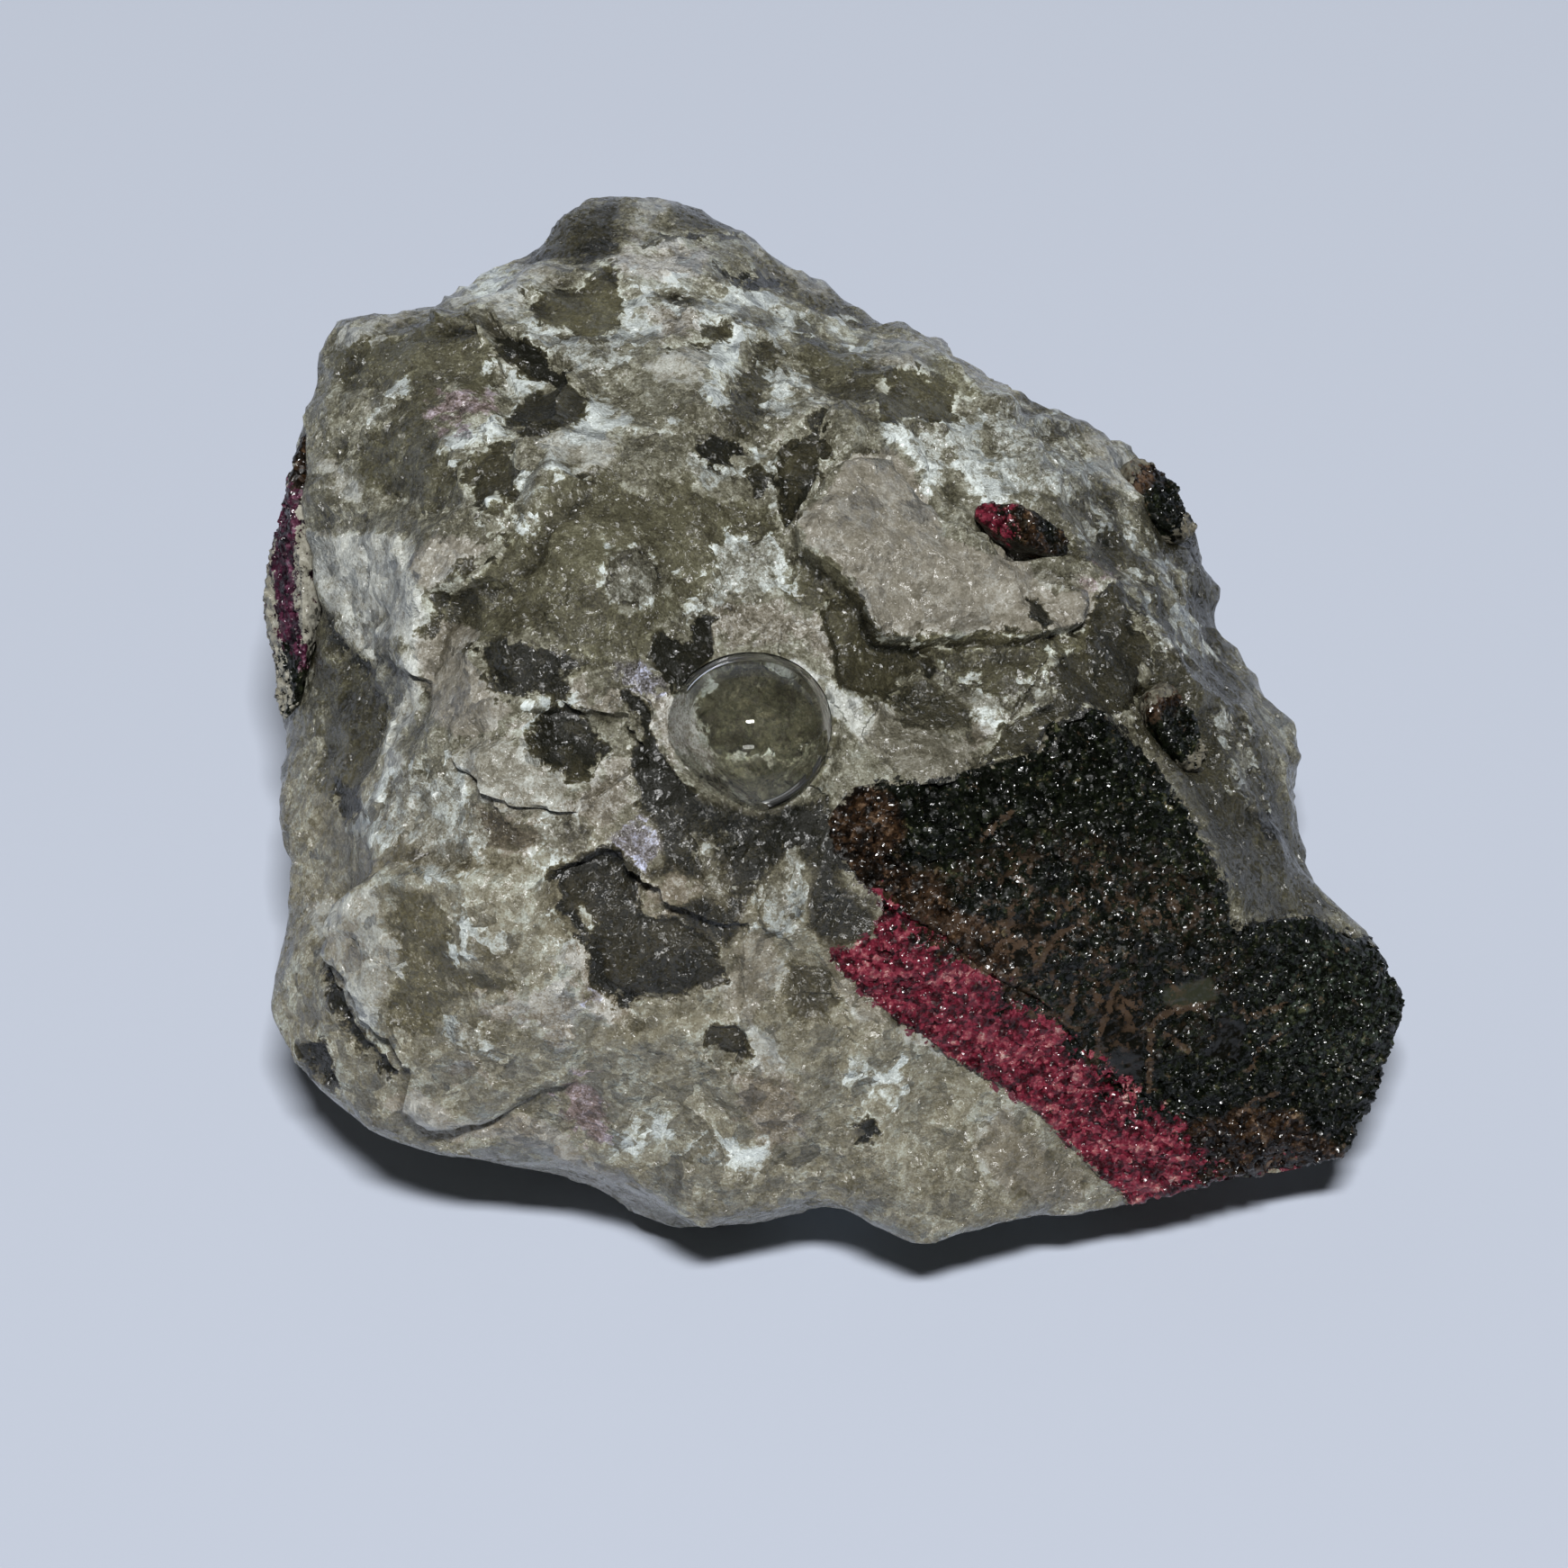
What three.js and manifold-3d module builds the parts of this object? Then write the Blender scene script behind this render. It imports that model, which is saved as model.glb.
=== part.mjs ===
// Raw lepidolite in its matrix: a hand-sized lump of smoky quartz, broken on every side, with a
// pink granular band of lepidolite and a body of black crystals set flush in its front right corner,
// four small dark crystal clusters elsewhere in the quartz, and one clear drop seated in a hollow.
//
// Millimetres, +Z up, +Y towards the back. The lump is first laid out around a core point as a shell
// of landmarks, most of them placed from one line of sight that looks down on the front of the lump.

import * as THREE from "three";
import { ConvexHull } from "three/addons/math/ConvexHull.js";
import { mergeVertices } from "three/addons/utils/BufferGeometryUtils.js";
import Module from "manifold-3d";

// ---------------------------------------------------------------- driving dimensions

const LOOK_DOWN = THREE.MathUtils.degToRad(60); // slope of the line of sight
const EYE_DISTANCE = 500; // from the core, along the line of sight
const CORE_HEIGHT = 24; // the core's height over the ground
const SHELL_DETAIL = 14; // rows of triangles along one edge of the geodesic shell, less one
const SHELL_CROWDING = 0.22; // how far the shell's triangles crowd towards the eye
const CREASE_SHARE = 0.5; // rounding of the creases between landmarks
const GAP = 0.3; // clearance between a crystal and the pocket that it sits in
const BOWL_SPACING = 12; // between the centres of the conchoidal bowls
const BOWL_DEPTH = 1.8; // of the bowls on the sides and underneath
const CROWN_BOWL_DEPTH = 1.1; // of the bowls on the face that looks at the eye
const ZONE_DEPTH = 9; // of the crystal zone, below its own face
const BLACK_CRYSTAL_HEIGHT = 0.5; // of the black crystals over the face of their body
const PINK_GRAIN_HEIGHT = 0.25; // of the pink grains over theirs
const SIGHT_REACH = 32; // how far the prisms along the line of sight reach, either side of the core
const LEDGE_ROOT = 5; // how far a ledge's own solid reaches down into the lump
const CLUSTER_STAND = 0.6; // how far a cluster stands out of the face of the lump
const CLUSTER_KNOBS = 0.25; // height of the knobs round a cluster
const DROP_RADIUS = 6;
const DROP_HALF_HEIGHT = 2.7;

// ---------------------------------------------------------------- landmarks

// Each row is across, up and height: across and up are measured square to the line of sight, from
// the core, and height is over the ground. The rim is where the lump turns away from the eye.
const RIM = [
  [-20, 41, 34], [-13.5, 42, 35], [-7.5, 40.5, 34], [-4.5, 35.5, 33], [2.5, 31, 31],
  [10.5, 29, 30], [16.5, 24, 30], [22, 20.5, 30], [25.5, 19, 27], [28.5, 16, 24],
  [30.5, 10.5, 22], [33, 3.5, 21], [36, -1.5, 20], [36.5, -6.5, 19], [36, -10, 18],
  [37.5, -14, 20], [44, -19, 19], [45.2, -22.5, 17], [43.2, -28.5, 14], [39.3, -33.8, 12],
  [33, -37.5, 11], [22.5, -38, 12], [17.5, -38, 12], [12, -40, 12], [7.5, -40.5, 13],
  [-0.5, -39.5, 14], [-9, -40.5, 14], [-16.5, -37, 15], [-23, -35.5, 16], [-30, -34.5, 17],
  [-35.5, -34.5, 17], [-40, -31, 16], [-42.8, -27, 15], [-43.2, -21, 18], [-40.5, -14.5, 22],
  [-42, -9.5, 22], [-43.5, -5.5, 22], [-43.5, -0.5, 22], [-43, 5, 23], [-44, 12, 24],
  [-43.5, 15, 25], [-41, 20.5, 28], [-41, 25.5, 31], [-39.5, 28, 33], [-36, 31, 35],
  [-31.5, 32.5, 36], [-29, 34.5, 36], [-23.5, 38, 35],
];

// The crown: the lobes, ridges and hollows that face the eye, inside the rim.
const UPPER_LEFT_LOBE = [
  [-33.5, 27.5, 43], [-37, 22.5, 40], [-31.5, 19, 46], [-25.5, 24.5, 46],
  [-38.5, 15, 37], [-35, 13.5, 40],
];
const TOP_LOBE = [[-14.5, 35, 40], [-23, 32.5, 42], [-9, 32.5, 40], [0, 27.5, 39]];
const RIGHT_RIDGE = [
  [-19.5, 22, 49], [-10.5, 24, 47], [1.5, 22, 44], [10.5, 22, 39], [17.5, 18.5, 37],
  [21, 12, 36], [24, 5, 34], [27, -0.5, 32], [31, -6, 29], [36, -12, 23],
];
const MIDDLE = [
  [-20, 10.5, 50], [-25.5, 3.5, 47], [-7, 13.5, 46], [2.5, 12, 45], [13.5, 10.5, 41],
  [10.5, 3.5, 38], [-9, -0.5, 43], [-0.5, -4, 41], [17.5, 0, 38], [-16, -9, 42],
  [-11.5, -16, 38], [-25.5, -6, 43], [-2, -14.5, 36],
];
const LEFT_FLANK = [[-38.5, 6.5, 31], [-38.5, -2.5, 29], [-33.5, 2, 38], [-35, -7.5, 36]];
const LOWER_SLAB = [
  [-37, -14.5, 34], [-25.5, -16.5, 37], [-30, -25, 29], [-21.5, -27, 28],
];
const FRONT_SLOPE = [
  [-5.5, -25, 30], [5, -25, 28], [-12.5, -34, 20], [5, -35, 19], [15.5, -33, 18],
];
const CRYSTAL_FACE = [
  [2.5, -7.5, 39], [12, -7.5, 39], [19, -0.5, 37], [29.5, -12, 32], [31, -17.5, 29],
  [19, -18, 32], [12, -21.5, 30], [26, -27, 23], [36.5, -23.5, 23], [33, -30.5, 17],
];
const CRYSTAL_PLANE = { left: [2.5, -7.5, 39], right: [29.5, -12, 32], low: [12, -21.5, 30] };

// Below the rim, as plain x, y, z over the ground: the back wall, the undercut and the foot.
const BACK_WALL = [[-30, 32, 22], [-14, 41, 22], [2, 34, 20], [16, 26, 19], [-41, 22, 19]];
const UNDERCUT = [
  [0, -33, 5.5], [18, -31, 4], [31, -27, 4], [38, -18, 7], [33, -2, 8], [27, 14, 9],
  [14, 25, 10], [0, 30, 9], [-14, 35, 10], [-30, 27, 9], [-38, 14, 10], [-38, -2, 9],
  [-36, -18, 7], [-27, -28, 6], [-13, -34, 5],
];
const FOOT = [
  [0, -26, -2], [15, -25, -2], [26, -18, -2], [29, -4, -2], [22, 10, -2], [10, 20, -2],
  [-6, 25, -2], [-20, 22, -2], [-30, 10, -2], [-31, -6, -2], [-26, -20, -2], [-13, -27, -2],
  [0, 0, -2],
];

// ---------------------------------------------------------------- relief on the crown

// Ledges are flakes that stand proud of the surface, or scars that are sunk into it. Each has one
// sharp step along its edge, and melts back into the surface over the distance `melt` from there.
// Its back closes the outline where no step is left. All points are across, up.
const LEDGES = [
  { // the pale plate right of the middle
    rise: 2.2, melt: 14,
    edge: [
      [5, 20.2], [1.8, 20.2], [-1.5, 18], [-3.4, 15.8], [-2.8, 13.5], [1, 10.6], [1.8, 8.6],
      [3.9, 5.8], [7, 5.6], [15.8, 5.6], [19.8, 6.3], [20.2, 9.2],
    ],
    back: [[17.8, 10.6], [12, 14], [8.3, 15.8]],
  },
  { // the flake left of the middle
    rise: 1.8, melt: 6,
    edge: [[-28.5, -5.6], [-25, -7.8], [-21.5, -8.2], [-19.8, -6.6], [-21.5, -4.8], [-23.6, -3.2]],
    back: [[-26, -2.3], [-30.3, -3.6]],
  },
  { // the slab that overhangs the lower left corner
    rise: 2.4, melt: 8,
    edge: [
      [-31, -13], [-37, -13], [-40.6, -15.6], [-40.4, -18.8], [-38.6, -22], [-36.4, -25.4],
      [-33.9, -28.8], [-34.6, -31.4], [-33.4, -33], [-30, -33.5],
    ],
    back: [[-22, -30], [-18, -22], [-22, -14]],
  },
  { // the long ledge below the upper left lobe
    rise: 2, melt: 6,
    edge: [[-33, 3], [-31.3, 9.2], [-27, 11.5], [-22.5, 15.5], [-20, 18.3]],
    back: [[-25, 22], [-34, 20], [-39, 14], [-39, 5]],
  },
  { // the frosted ledge under the top lobe
    rise: -1.8, melt: 7,
    edge: [[-31, 33.2], [-24, 34.6], [-17, 34.2], [-7, 36.8]],
    back: [[2, 44], [-16, 48], [-32, 42]],
  },
  { // the scar of the upper left lobe
    rise: -1.5, melt: 9,
    edge: [[-25.4, 25], [-28, 30], [-34, 31.2], [-38.5, 26.5]],
    back: [[-39, 19], [-36, 14.5], [-29.4, 15], [-27, 20.3]],
  },
  { // the cleft between the upper left lobe and the middle
    rise: -2, melt: 9,
    edge: [[-27.2, 24.5], [-26.5, 29.8], [-20.5, 26.5], [-21.5, 22.8]],
    back: [[-25.3, 20.6]],
  },
  { // the pool above the left flake
    rise: -2, melt: 8,
    edge: [[-22, -4.4], [-23.8, -0.8], [-21, 0.5], [-16, -0.9]],
    back: [[-14.6, -4], [-18.5, -7]],
  },
  { // the pool low in the middle
    rise: -2.2, melt: 8,
    edge: [[-19.4, -20.6], [-22, -16], [-21.7, -12.2], [-16.5, -10.9], [-13.2, -14.2]],
    back: [[-6.8, -16], [-7.2, -22.5], [-15, -25]],
  },
];

// Flat breaks on the back and sides: azimuth and elevation of each one's outward way in degrees,
// the azimuth from +X towards +Y, and how much it takes off the lump there.
const BREAKS = [
  { azimuth: 100, elevation: -22, depth: 2.2 },
  { azimuth: 66, elevation: -14, depth: 2.2 },
  { azimuth: 80, elevation: -34, depth: 2.8 },
  { azimuth: 128, elevation: -18, depth: 2.2 },
  { azimuth: 30, elevation: -24, depth: 2.2 },
  { azimuth: 4, elevation: -38, depth: 2.4 },
  { azimuth: 156, elevation: -24, depth: 2 },
  { azimuth: 186, elevation: -40, depth: 2.4 },
];

// The right flank is drawn out in ridges that run down to the right.
const RIDGES = {
  corner: [18, 21], // top of the flank, across and up
  run: new THREE.Vector2(0.555, -0.832), // the way that the ridges run
  width: 13, // of the flank, square to the ridges
  pitch: 3.6,
  height: 0.8,
};

// ---------------------------------------------------------------- crystals

// The crystal zone, across and up. The pink band is its lower left margin.
const PINK_BAND = [
  [-0.6, -19.2], [2.9, -17.9], [4.1, -15.5], [8, -17.2], [12.1, -20.6], [16.3, -22.7],
  [19.5, -26.2], [21.2, -29], [26.1, -30.4], [29.6, -32.5], [32, -35], [33.5, -37.4],
  [36, -48], [24, -48], [22.9, -38.2], [20.7, -36.1], [16.1, -31.5], [12.5, -29],
  [8.3, -26.5], [4.7, -24], [1.1, -21.1],
];
const BLACK_BODY = [
  [4.1, -15.5], [3.6, -15.1], [2.2, -13.7], [-0.4, -11.1], [-0.4, -8.6], [1.5, -6.3],
  [4.7, -5.7], [6.4, -5.7], [10, -5], [14, -4], [16.1, -3.3], [16.7, -1.3], [19.7, 0.5],
  [21.5, -0.8], [24.7, -4.3], [27.2, -7.6], [29, -11.1], [30.6, -14.7], [30.7, -17.2],
  [34, -16.5], [37.2, -16], [40, -17.9], [50, -16], [50, -48], [36, -48], [33.5, -37.4],
  [32, -35], [29.6, -32.5], [26.1, -30.4], [21.2, -29], [19.5, -26.2], [16.3, -22.7],
  [12.1, -20.6], [8, -17.2],
];

// Small clusters, each a knobbly lens in the quartz that is broken off nearly flush with it: across
// and up of its middle, its half sizes along it, across it and into the quartz, and its turn.
const CLUSTERS = [
  {
    name: "upper_right_cluster", at: [14.9, 14.4], half: [4.1, 1.7, 2.4], turn: -14,
    colour: 0x2b2016,
  },
  {
    name: "right_edge_cluster", at: [25.6, 16.6], half: [3.8, 2.4, 2.4], turn: -62,
    colour: 0x20221c,
  },
  {
    name: "saddle_cluster", at: [26.6, -1.4], half: [3.4, 1.9, 2.4], turn: -60,
    colour: 0x2a2722,
  },
  {
    name: "left_edge_cluster", at: [-42.4, 10.8], half: [11.5, 3, 2.4], turn: 90,
    colour: 0x6b2a38,
  },
];

const DROP_AT = [-6.6, -1.7]; // across and up of the clear drop

// ---------------------------------------------------------------- line of sight

const core = new THREE.Vector3(0, 0, CORE_HEIGHT);
const toEye = new THREE.Vector3(0, -Math.cos(LOOK_DOWN), Math.sin(LOOK_DOWN));
const sightUp = new THREE.Vector3(0, Math.sin(LOOK_DOWN), Math.cos(LOOK_DOWN));
const eye = core.clone().addScaledVector(toEye, EYE_DISTANCE);

/** The ray from the eye through a place on the sight plane. */
function sightRay(across, up) {
  const through = core.clone().addScaledVector(sightUp, up);
  through.x += across;
  return through.sub(eye).normalize();
}

/** The point that is seen at across, up and lies at a height over the ground. */
function fromSight([across, up, height]) {
  const ray = sightRay(across, up);
  return eye.clone().addScaledVector(ray, (height - eye.z) / ray.z);
}

/** Where a point is seen: across and up on the sight plane. */
function toSight(point) {
  const ray = point.clone().sub(eye);
  const seen = ray.multiplyScalar(-EYE_DISTANCE / ray.dot(toEye)).add(eye).sub(core);
  return new THREE.Vector2(seen.x, seen.dot(sightUp));
}

// ---------------------------------------------------------------- noise

/** A repeatable number from 0 to 1 for a cell of a grid. */
function cellNumber(i, j, k, salt) {
  let h = Math.imul(i, 374761393) + Math.imul(j, 668265263) + Math.imul(k, 2147483647);
  h = Math.imul(h ^ (h >>> 13) ^ Math.imul(salt, 974634541), 1274126177);
  return ((h ^ (h >>> 16)) >>> 0) / 4294967296;
}

/** 0 at the middle of a conchoidal bowl, rising to about 1 at the sharp ridge between two bowls. */
function bowl(point, spacing) {
  const cell = point.clone().divideScalar(spacing).floor();
  let nearest = Infinity;
  const offsets = [-1, 0, 1];
  for (const dx of offsets) {
    for (const dy of offsets) {
      for (const dz of offsets) {
        const [i, j, k] = [cell.x + dx, cell.y + dy, cell.z + dz];
        const middle = new THREE.Vector3(
          i + cellNumber(i, j, k, 1),
          j + cellNumber(i, j, k, 2),
          k + cellNumber(i, j, k, 3),
        ).multiplyScalar(spacing);
        nearest = Math.min(nearest, middle.distanceToSquared(point));
      }
    }
  }
  return nearest / (spacing * spacing * 0.5);
}

// ---------------------------------------------------------------- the shell

/** The landmarks, as points from the core. */
function landmarkPoints() {
  const sighted = [
    RIM, UPPER_LEFT_LOBE, TOP_LOBE, RIGHT_RIDGE, MIDDLE, LEFT_FLANK,
    LOWER_SLAB, FRONT_SLOPE, CRYSTAL_FACE,
  ].flat().map(fromSight);
  const plain = [BACK_WALL, UNDERCUT, FOOT].flat().map((p) => new THREE.Vector3(...p));
  return [...sighted, ...plain].map((p) => p.sub(core));
}

/** Flat facets between neighbouring landmarks, found as the hull of their directions. */
function facetsBetween(points) {
  const directions = points.map((p) => p.clone().normalize());
  const pointOf = new Map(directions.map((direction, i) => [direction, points[i]]));
  const hull = new ConvexHull().setFromPoints(directions);
  return hull.faces.map((face) => {
    const heads = [];
    let edge = face.edge;
    do {
      heads.push(edge.head().point);
      edge = edge.next;
    } while (edge !== face.edge);
    const [a, b, c] = heads;
    const [pa, pb, pc] = heads.map((head) => pointOf.get(head));
    return {
      sides: [a.clone().cross(b), b.clone().cross(c), c.clone().cross(a)],
      normal: pb.clone().sub(pa).cross(pc.clone().sub(pa)),
      point: pa,
    };
  });
}

/** How far out the facets lie along a direction from the core. */
function facetRadius(facets, direction) {
  let best = null;
  let bestSide = -Infinity;
  for (const facet of facets) {
    const side = Math.min(...facet.sides.map((s) => s.dot(direction)));
    if (side > bestSide) {
      bestSide = side;
      best = facet;
    }
  }
  return best.normal.dot(best.point) / best.normal.dot(direction);
}

/** A geodesic ball of unit directions, crowded towards the eye, with its triangles and neighbours. */
function geodesicDirections() {
  const ball = new THREE.IcosahedronGeometry(1, SHELL_DETAIL);
  ball.deleteAttribute("normal");
  ball.deleteAttribute("uv");
  const merged = mergeVertices(ball, 1e-5);
  const position = merged.getAttribute("position");
  const directions = [];
  for (let i = 0; i < position.count; i++) {
    const direction = new THREE.Vector3().fromBufferAttribute(position, i);
    directions.push(direction.addScaledVector(toEye, SHELL_CROWDING).normalize());
  }
  const triangles = Array.from(merged.index.array);
  const neighbours = directions.map(() => new Set());
  for (let i = 0; i < triangles.length; i += 3) {
    for (let corner = 0; corner < 3; corner++) {
      const from = triangles[i + corner];
      const to = triangles[i + ((corner + 1) % 3)];
      neighbours[from].add(to);
      neighbours[to].add(from);
    }
  }
  return { directions, triangles, neighbours };
}

/** Each value drawn towards the mean of its neighbours by a share, or away from it if below 0. */
function drawn(values, neighbours, share) {
  return values.map((value, i) => {
    const around = [...neighbours[i]];
    const mean = around.reduce((sum, n) => sum + values[n], 0) / around.length;
    return THREE.MathUtils.lerp(value, mean, share);
  });
}

/** Values with their creases rounded but their tops and hollows kept. */
function soften(values, neighbours) {
  return drawn(drawn(values, neighbours, CREASE_SHARE), neighbours, -CREASE_SHARE);
}

/** Distance from a place to the nearest stretch of an open line on the sight plane. */
function distanceToLine(line, place) {
  const distances = line.slice(1).map(([bx, by], i) => {
    const [ax, ay] = line[i];
    const along = new THREE.Vector2(bx - ax, by - ay);
    const from = new THREE.Vector2(place.x - ax, place.y - ay);
    const share = THREE.MathUtils.clamp(from.dot(along) / along.lengthSq(), 0, 1);
    return from.addScaledVector(along, -share).length();
  });
  return Math.min(...distances);
}

/** Height of the ridges of the right flank at a place. */
function ridgeRise(place) {
  const from = new THREE.Vector2(place.x - RIDGES.corner[0], place.y - RIDGES.corner[1]);
  const across = -from.cross(RIDGES.run);
  const on = THREE.MathUtils.smoothstep(-across, -1, 2)
    * (1 - THREE.MathUtils.smoothstep(-across, RIDGES.width, RIDGES.width + 3));
  const wave = 1 - Math.abs(Math.sin((Math.PI * across) / RIDGES.pitch));
  return on * RIDGES.height * wave;
}

/** The shell of the lump: its directions, triangles and how far out each direction reaches. */
function lumpShell() {
  const facets = facetsBetween(landmarkPoints());
  const { directions, triangles, neighbours } = geodesicDirections();
  const sharp = directions.map((direction) => facetRadius(facets, direction));
  const smooth = soften(sharp, neighbours);
  const radii = directions.map((direction, i) => {
    const point = direction.clone().multiplyScalar(smooth[i]).add(core);
    const facing = THREE.MathUtils.smoothstep(direction.dot(toEye), -0.05, 0.35);
    const depth = THREE.MathUtils.lerp(BOWL_DEPTH, CROWN_BOWL_DEPTH, facing);
    return smooth[i] + facing * ridgeRise(toSight(point)) + depth * (bowl(point, BOWL_SPACING) - 0.4);
  });
  return { directions, triangles, radii };
}

/** How far one corner of the shell is thrown out or in, where the lump is made of crystals. */
function crystalThrow(corner, height) {
  return height * (2 * cellNumber(corner, 0, 0, 4) - 0.8);
}

/** A closed geometry of the shell, with something added to each radius. */
function shellGeometry({ directions, triangles, radii }, extra = () => 0) {
  const vertices = new Float32Array(directions.length * 3);
  directions.forEach((direction, i) => {
    const point = direction.clone().multiplyScalar(radii[i]).add(core);
    point.addScaledVector(direction, extra(toSight(point), i));
    point.toArray(vertices, i * 3);
  });
  const geometry = new THREE.BufferGeometry();
  geometry.setAttribute("position", new THREE.BufferAttribute(vertices, 3));
  geometry.setIndex(triangles);
  return geometry;
}

// ---------------------------------------------------------------- solids

const wasm = await Module();
wasm.setup();

/** A closed geometry as a solid that can be cut and joined. */
function solidOf(geometry) {
  const bare = geometry.clone();
  bare.deleteAttribute("normal");
  bare.deleteAttribute("uv");
  const merged = mergeVertices(bare, 1e-4);
  return new wasm.Manifold(new wasm.Mesh({
    numProp: 3,
    vertProperties: new Float32Array(merged.getAttribute("position").array),
    triVerts: new Uint32Array(merged.index.array),
  }));
}

/** A solid's triangles as a geometry. */
function geometryOf(solid) {
  const { vertProperties, triVerts, numProp } = solid.getMesh();
  const geometry = new THREE.BufferGeometry();
  const places = new Float32Array((vertProperties.length / numProp) * 3);
  for (let i = 0; i < places.length / 3; i++) {
    places.set(vertProperties.subarray(i * numProp, i * numProp + 3), i * 3);
  }
  geometry.setAttribute("position", new THREE.BufferAttribute(places, 3));
  geometry.setIndex(Array.from(triVerts));
  geometry.computeVertexNormals();
  return geometry;
}

/** An outline that runs clockwise. */
function clockwise(outline) {
  const points = outline.map(([across, up]) => new THREE.Vector2(across, up));
  return THREE.ShapeUtils.isClockWise(points) ? outline : [...outline].reverse();
}

/** A clockwise outline moved outwards by a distance, corner by corner. */
function grown(outline, distance) {
  return outline.map((corner, i) => {
    const before = outline.at(i - 1);
    const after = outline[(i + 1) % outline.length];
    const along = new THREE.Vector2(after[0] - before[0], after[1] - before[1]).normalize();
    return [corner[0] - along.y * distance, corner[1] + along.x * distance];
  });
}

/** A prism on an outline of the sight plane that narrows to the eye, from a depth to in front. */
function sightPrism(outline, from = -SIGHT_REACH) {
  const shape = new THREE.Shape(outline.map(([across, up]) => new THREE.Vector2(across, up)));
  const prism = new THREE.ExtrudeGeometry(shape, { depth: SIGHT_REACH - from, bevelEnabled: false });
  prism.translate(0, 0, from);
  const position = prism.getAttribute("position");
  for (let i = 0; i < position.count; i++) {
    const narrowing = 1 - position.getZ(i) / EYE_DISTANCE;
    position.setXY(i, position.getX(i) * narrowing, position.getY(i) * narrowing);
  }
  const turn = new THREE.Matrix4().makeBasis(new THREE.Vector3(1, 0, 0), sightUp, toEye);
  prism.applyMatrix4(turn);
  prism.translate(core.x, core.y, core.z);
  return solidOf(prism);
}

/** How far towards the eye the lump's nearest surface lies, at the lowest corner of an outline. */
function lowestCorner(lumpMesh, outline) {
  const depths = outline.flatMap(([across, up]) => {
    const hits = new THREE.Raycaster(eye, sightRay(across, up)).intersectObject(lumpMesh);
    return hits.slice(0, 1).map((hit) => hit.point.sub(core).dot(toEye));
  });
  return Math.min(...depths);
}

/** The lump with every ledge of a list built on it or sunk into it. */
function withLedges(lump, shell, ledges) {
  const lumpMesh = new THREE.Mesh(geometryOf(lump), new THREE.MeshBasicMaterial());
  return ledges.reduce((solid, { rise, melt, edge, back }) => {
    const level = (place) => rise * Math.exp(-distanceToLine(edge, place) / melt);
    const outline = clockwise([...edge, ...back]);
    const prism = sightPrism(outline, lowestCorner(lumpMesh, outline) - LEDGE_ROOT);
    const stepped = solidOf(shellGeometry(shell, level));
    return rise > 0 ? solid.add(stepped.intersect(prism)) : solid.subtract(prism.subtract(stepped));
  }, lump);
}

/** The lump with flat breaks taken off it. */
function withBreaks(lump, breaks) {
  return breaks.reduce((solid, { azimuth, elevation, depth }) => {
    const outward = new THREE.Vector3(1, 0, 0)
      .applyAxisAngle(new THREE.Vector3(0, -1, 0), THREE.MathUtils.degToRad(elevation))
      .applyAxisAngle(new THREE.Vector3(0, 0, 1), THREE.MathUtils.degToRad(azimuth));
    const { vertProperties } = solid.getMesh();
    let reach = -Infinity;
    for (let i = 0; i < vertProperties.length; i += 3) {
      reach = Math.max(reach, outward.dot(new THREE.Vector3().fromArray(vertProperties, i)));
    }
    return solid.trimByPlane(outward.clone().negate().toArray(), depth - reach);
  }, lump);
}

/** A plane a given depth under the crystal zone's face, as a normal and an offset. */
function zoneFloor(depth) {
  const [left, right, low] = Object.values(CRYSTAL_PLANE).map(fromSight);
  const normal = right.clone().sub(left).cross(low.clone().sub(left)).normalize();
  if (normal.dot(toEye) < 0) {
    normal.negate();
  }
  return { normal: normal.toArray(), offset: normal.dot(left) - depth };
}

/** The outermost point of the lump that is seen at a place, and the way out of it there. */
function surfaceAt(lumpMesh, [across, up]) {
  const ray = new THREE.Raycaster(eye, sightRay(across, up));
  const hit = ray.intersectObject(lumpMesh)[0];
  return { point: hit.point, outward: hit.face.normal.clone() };
}

/** A lens with its short axis along outward, turned about it, and optionally knobbly. */
function lens(half, margin, middle, outward, turnDegrees, knobs) {
  const ball = new THREE.IcosahedronGeometry(1, 2);
  const position = ball.getAttribute("position");
  const point = new THREE.Vector3();
  for (let i = 0; i < position.count; i++) {
    point.fromBufferAttribute(position, i);
    const knob = knobs * (Math.sin(point.x * 9 + 1) * Math.sin(point.y * 7 + 2)
      + 0.6 * Math.sin(point.x * 17 + point.z * 5));
    const size = new THREE.Vector3(...half).addScalar(margin + knob);
    position.setXYZ(i, point.x * size.x, point.y * size.y, point.z * size.z);
  }
  const along = new THREE.Vector3(1, 0, 0).applyAxisAngle(
    toEye, THREE.MathUtils.degToRad(turnDegrees),
  );
  along.addScaledVector(outward, -along.dot(outward)).normalize();
  const across = outward.clone().cross(along);
  ball.applyMatrix4(new THREE.Matrix4().makeBasis(along, across, outward));
  ball.translate(middle.x, middle.y, middle.z);
  return solidOf(ball);
}

/** A cluster's own solid, broken off at the rough face given, and the pocket that it needs. */
function clusterSolids(lumpMesh, proudFace, { at, half, turn }) {
  const { point, outward } = surfaceAt(lumpMesh, at);
  const whole = lens(half, 0, point, outward, turn, CLUSTER_KNOBS);
  return {
    solid: whole.intersect(proudFace),
    pocket: lens(half, GAP, point, outward, turn, CLUSTER_KNOBS),
  };
}

/** The clear drop's solid and its seat. It faces the eye, whatever way the quartz under it leans. */
function dropSolids(lumpMesh) {
  const middle = surfaceAt(lumpMesh, DROP_AT).point;
  const half = [DROP_RADIUS, DROP_RADIUS, DROP_HALF_HEIGHT];
  return {
    solid: lens(half, 0, middle, toEye, 0, 0),
    pocket: lens(half, GAP, middle, toEye, 0, 0),
  };
}

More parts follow.
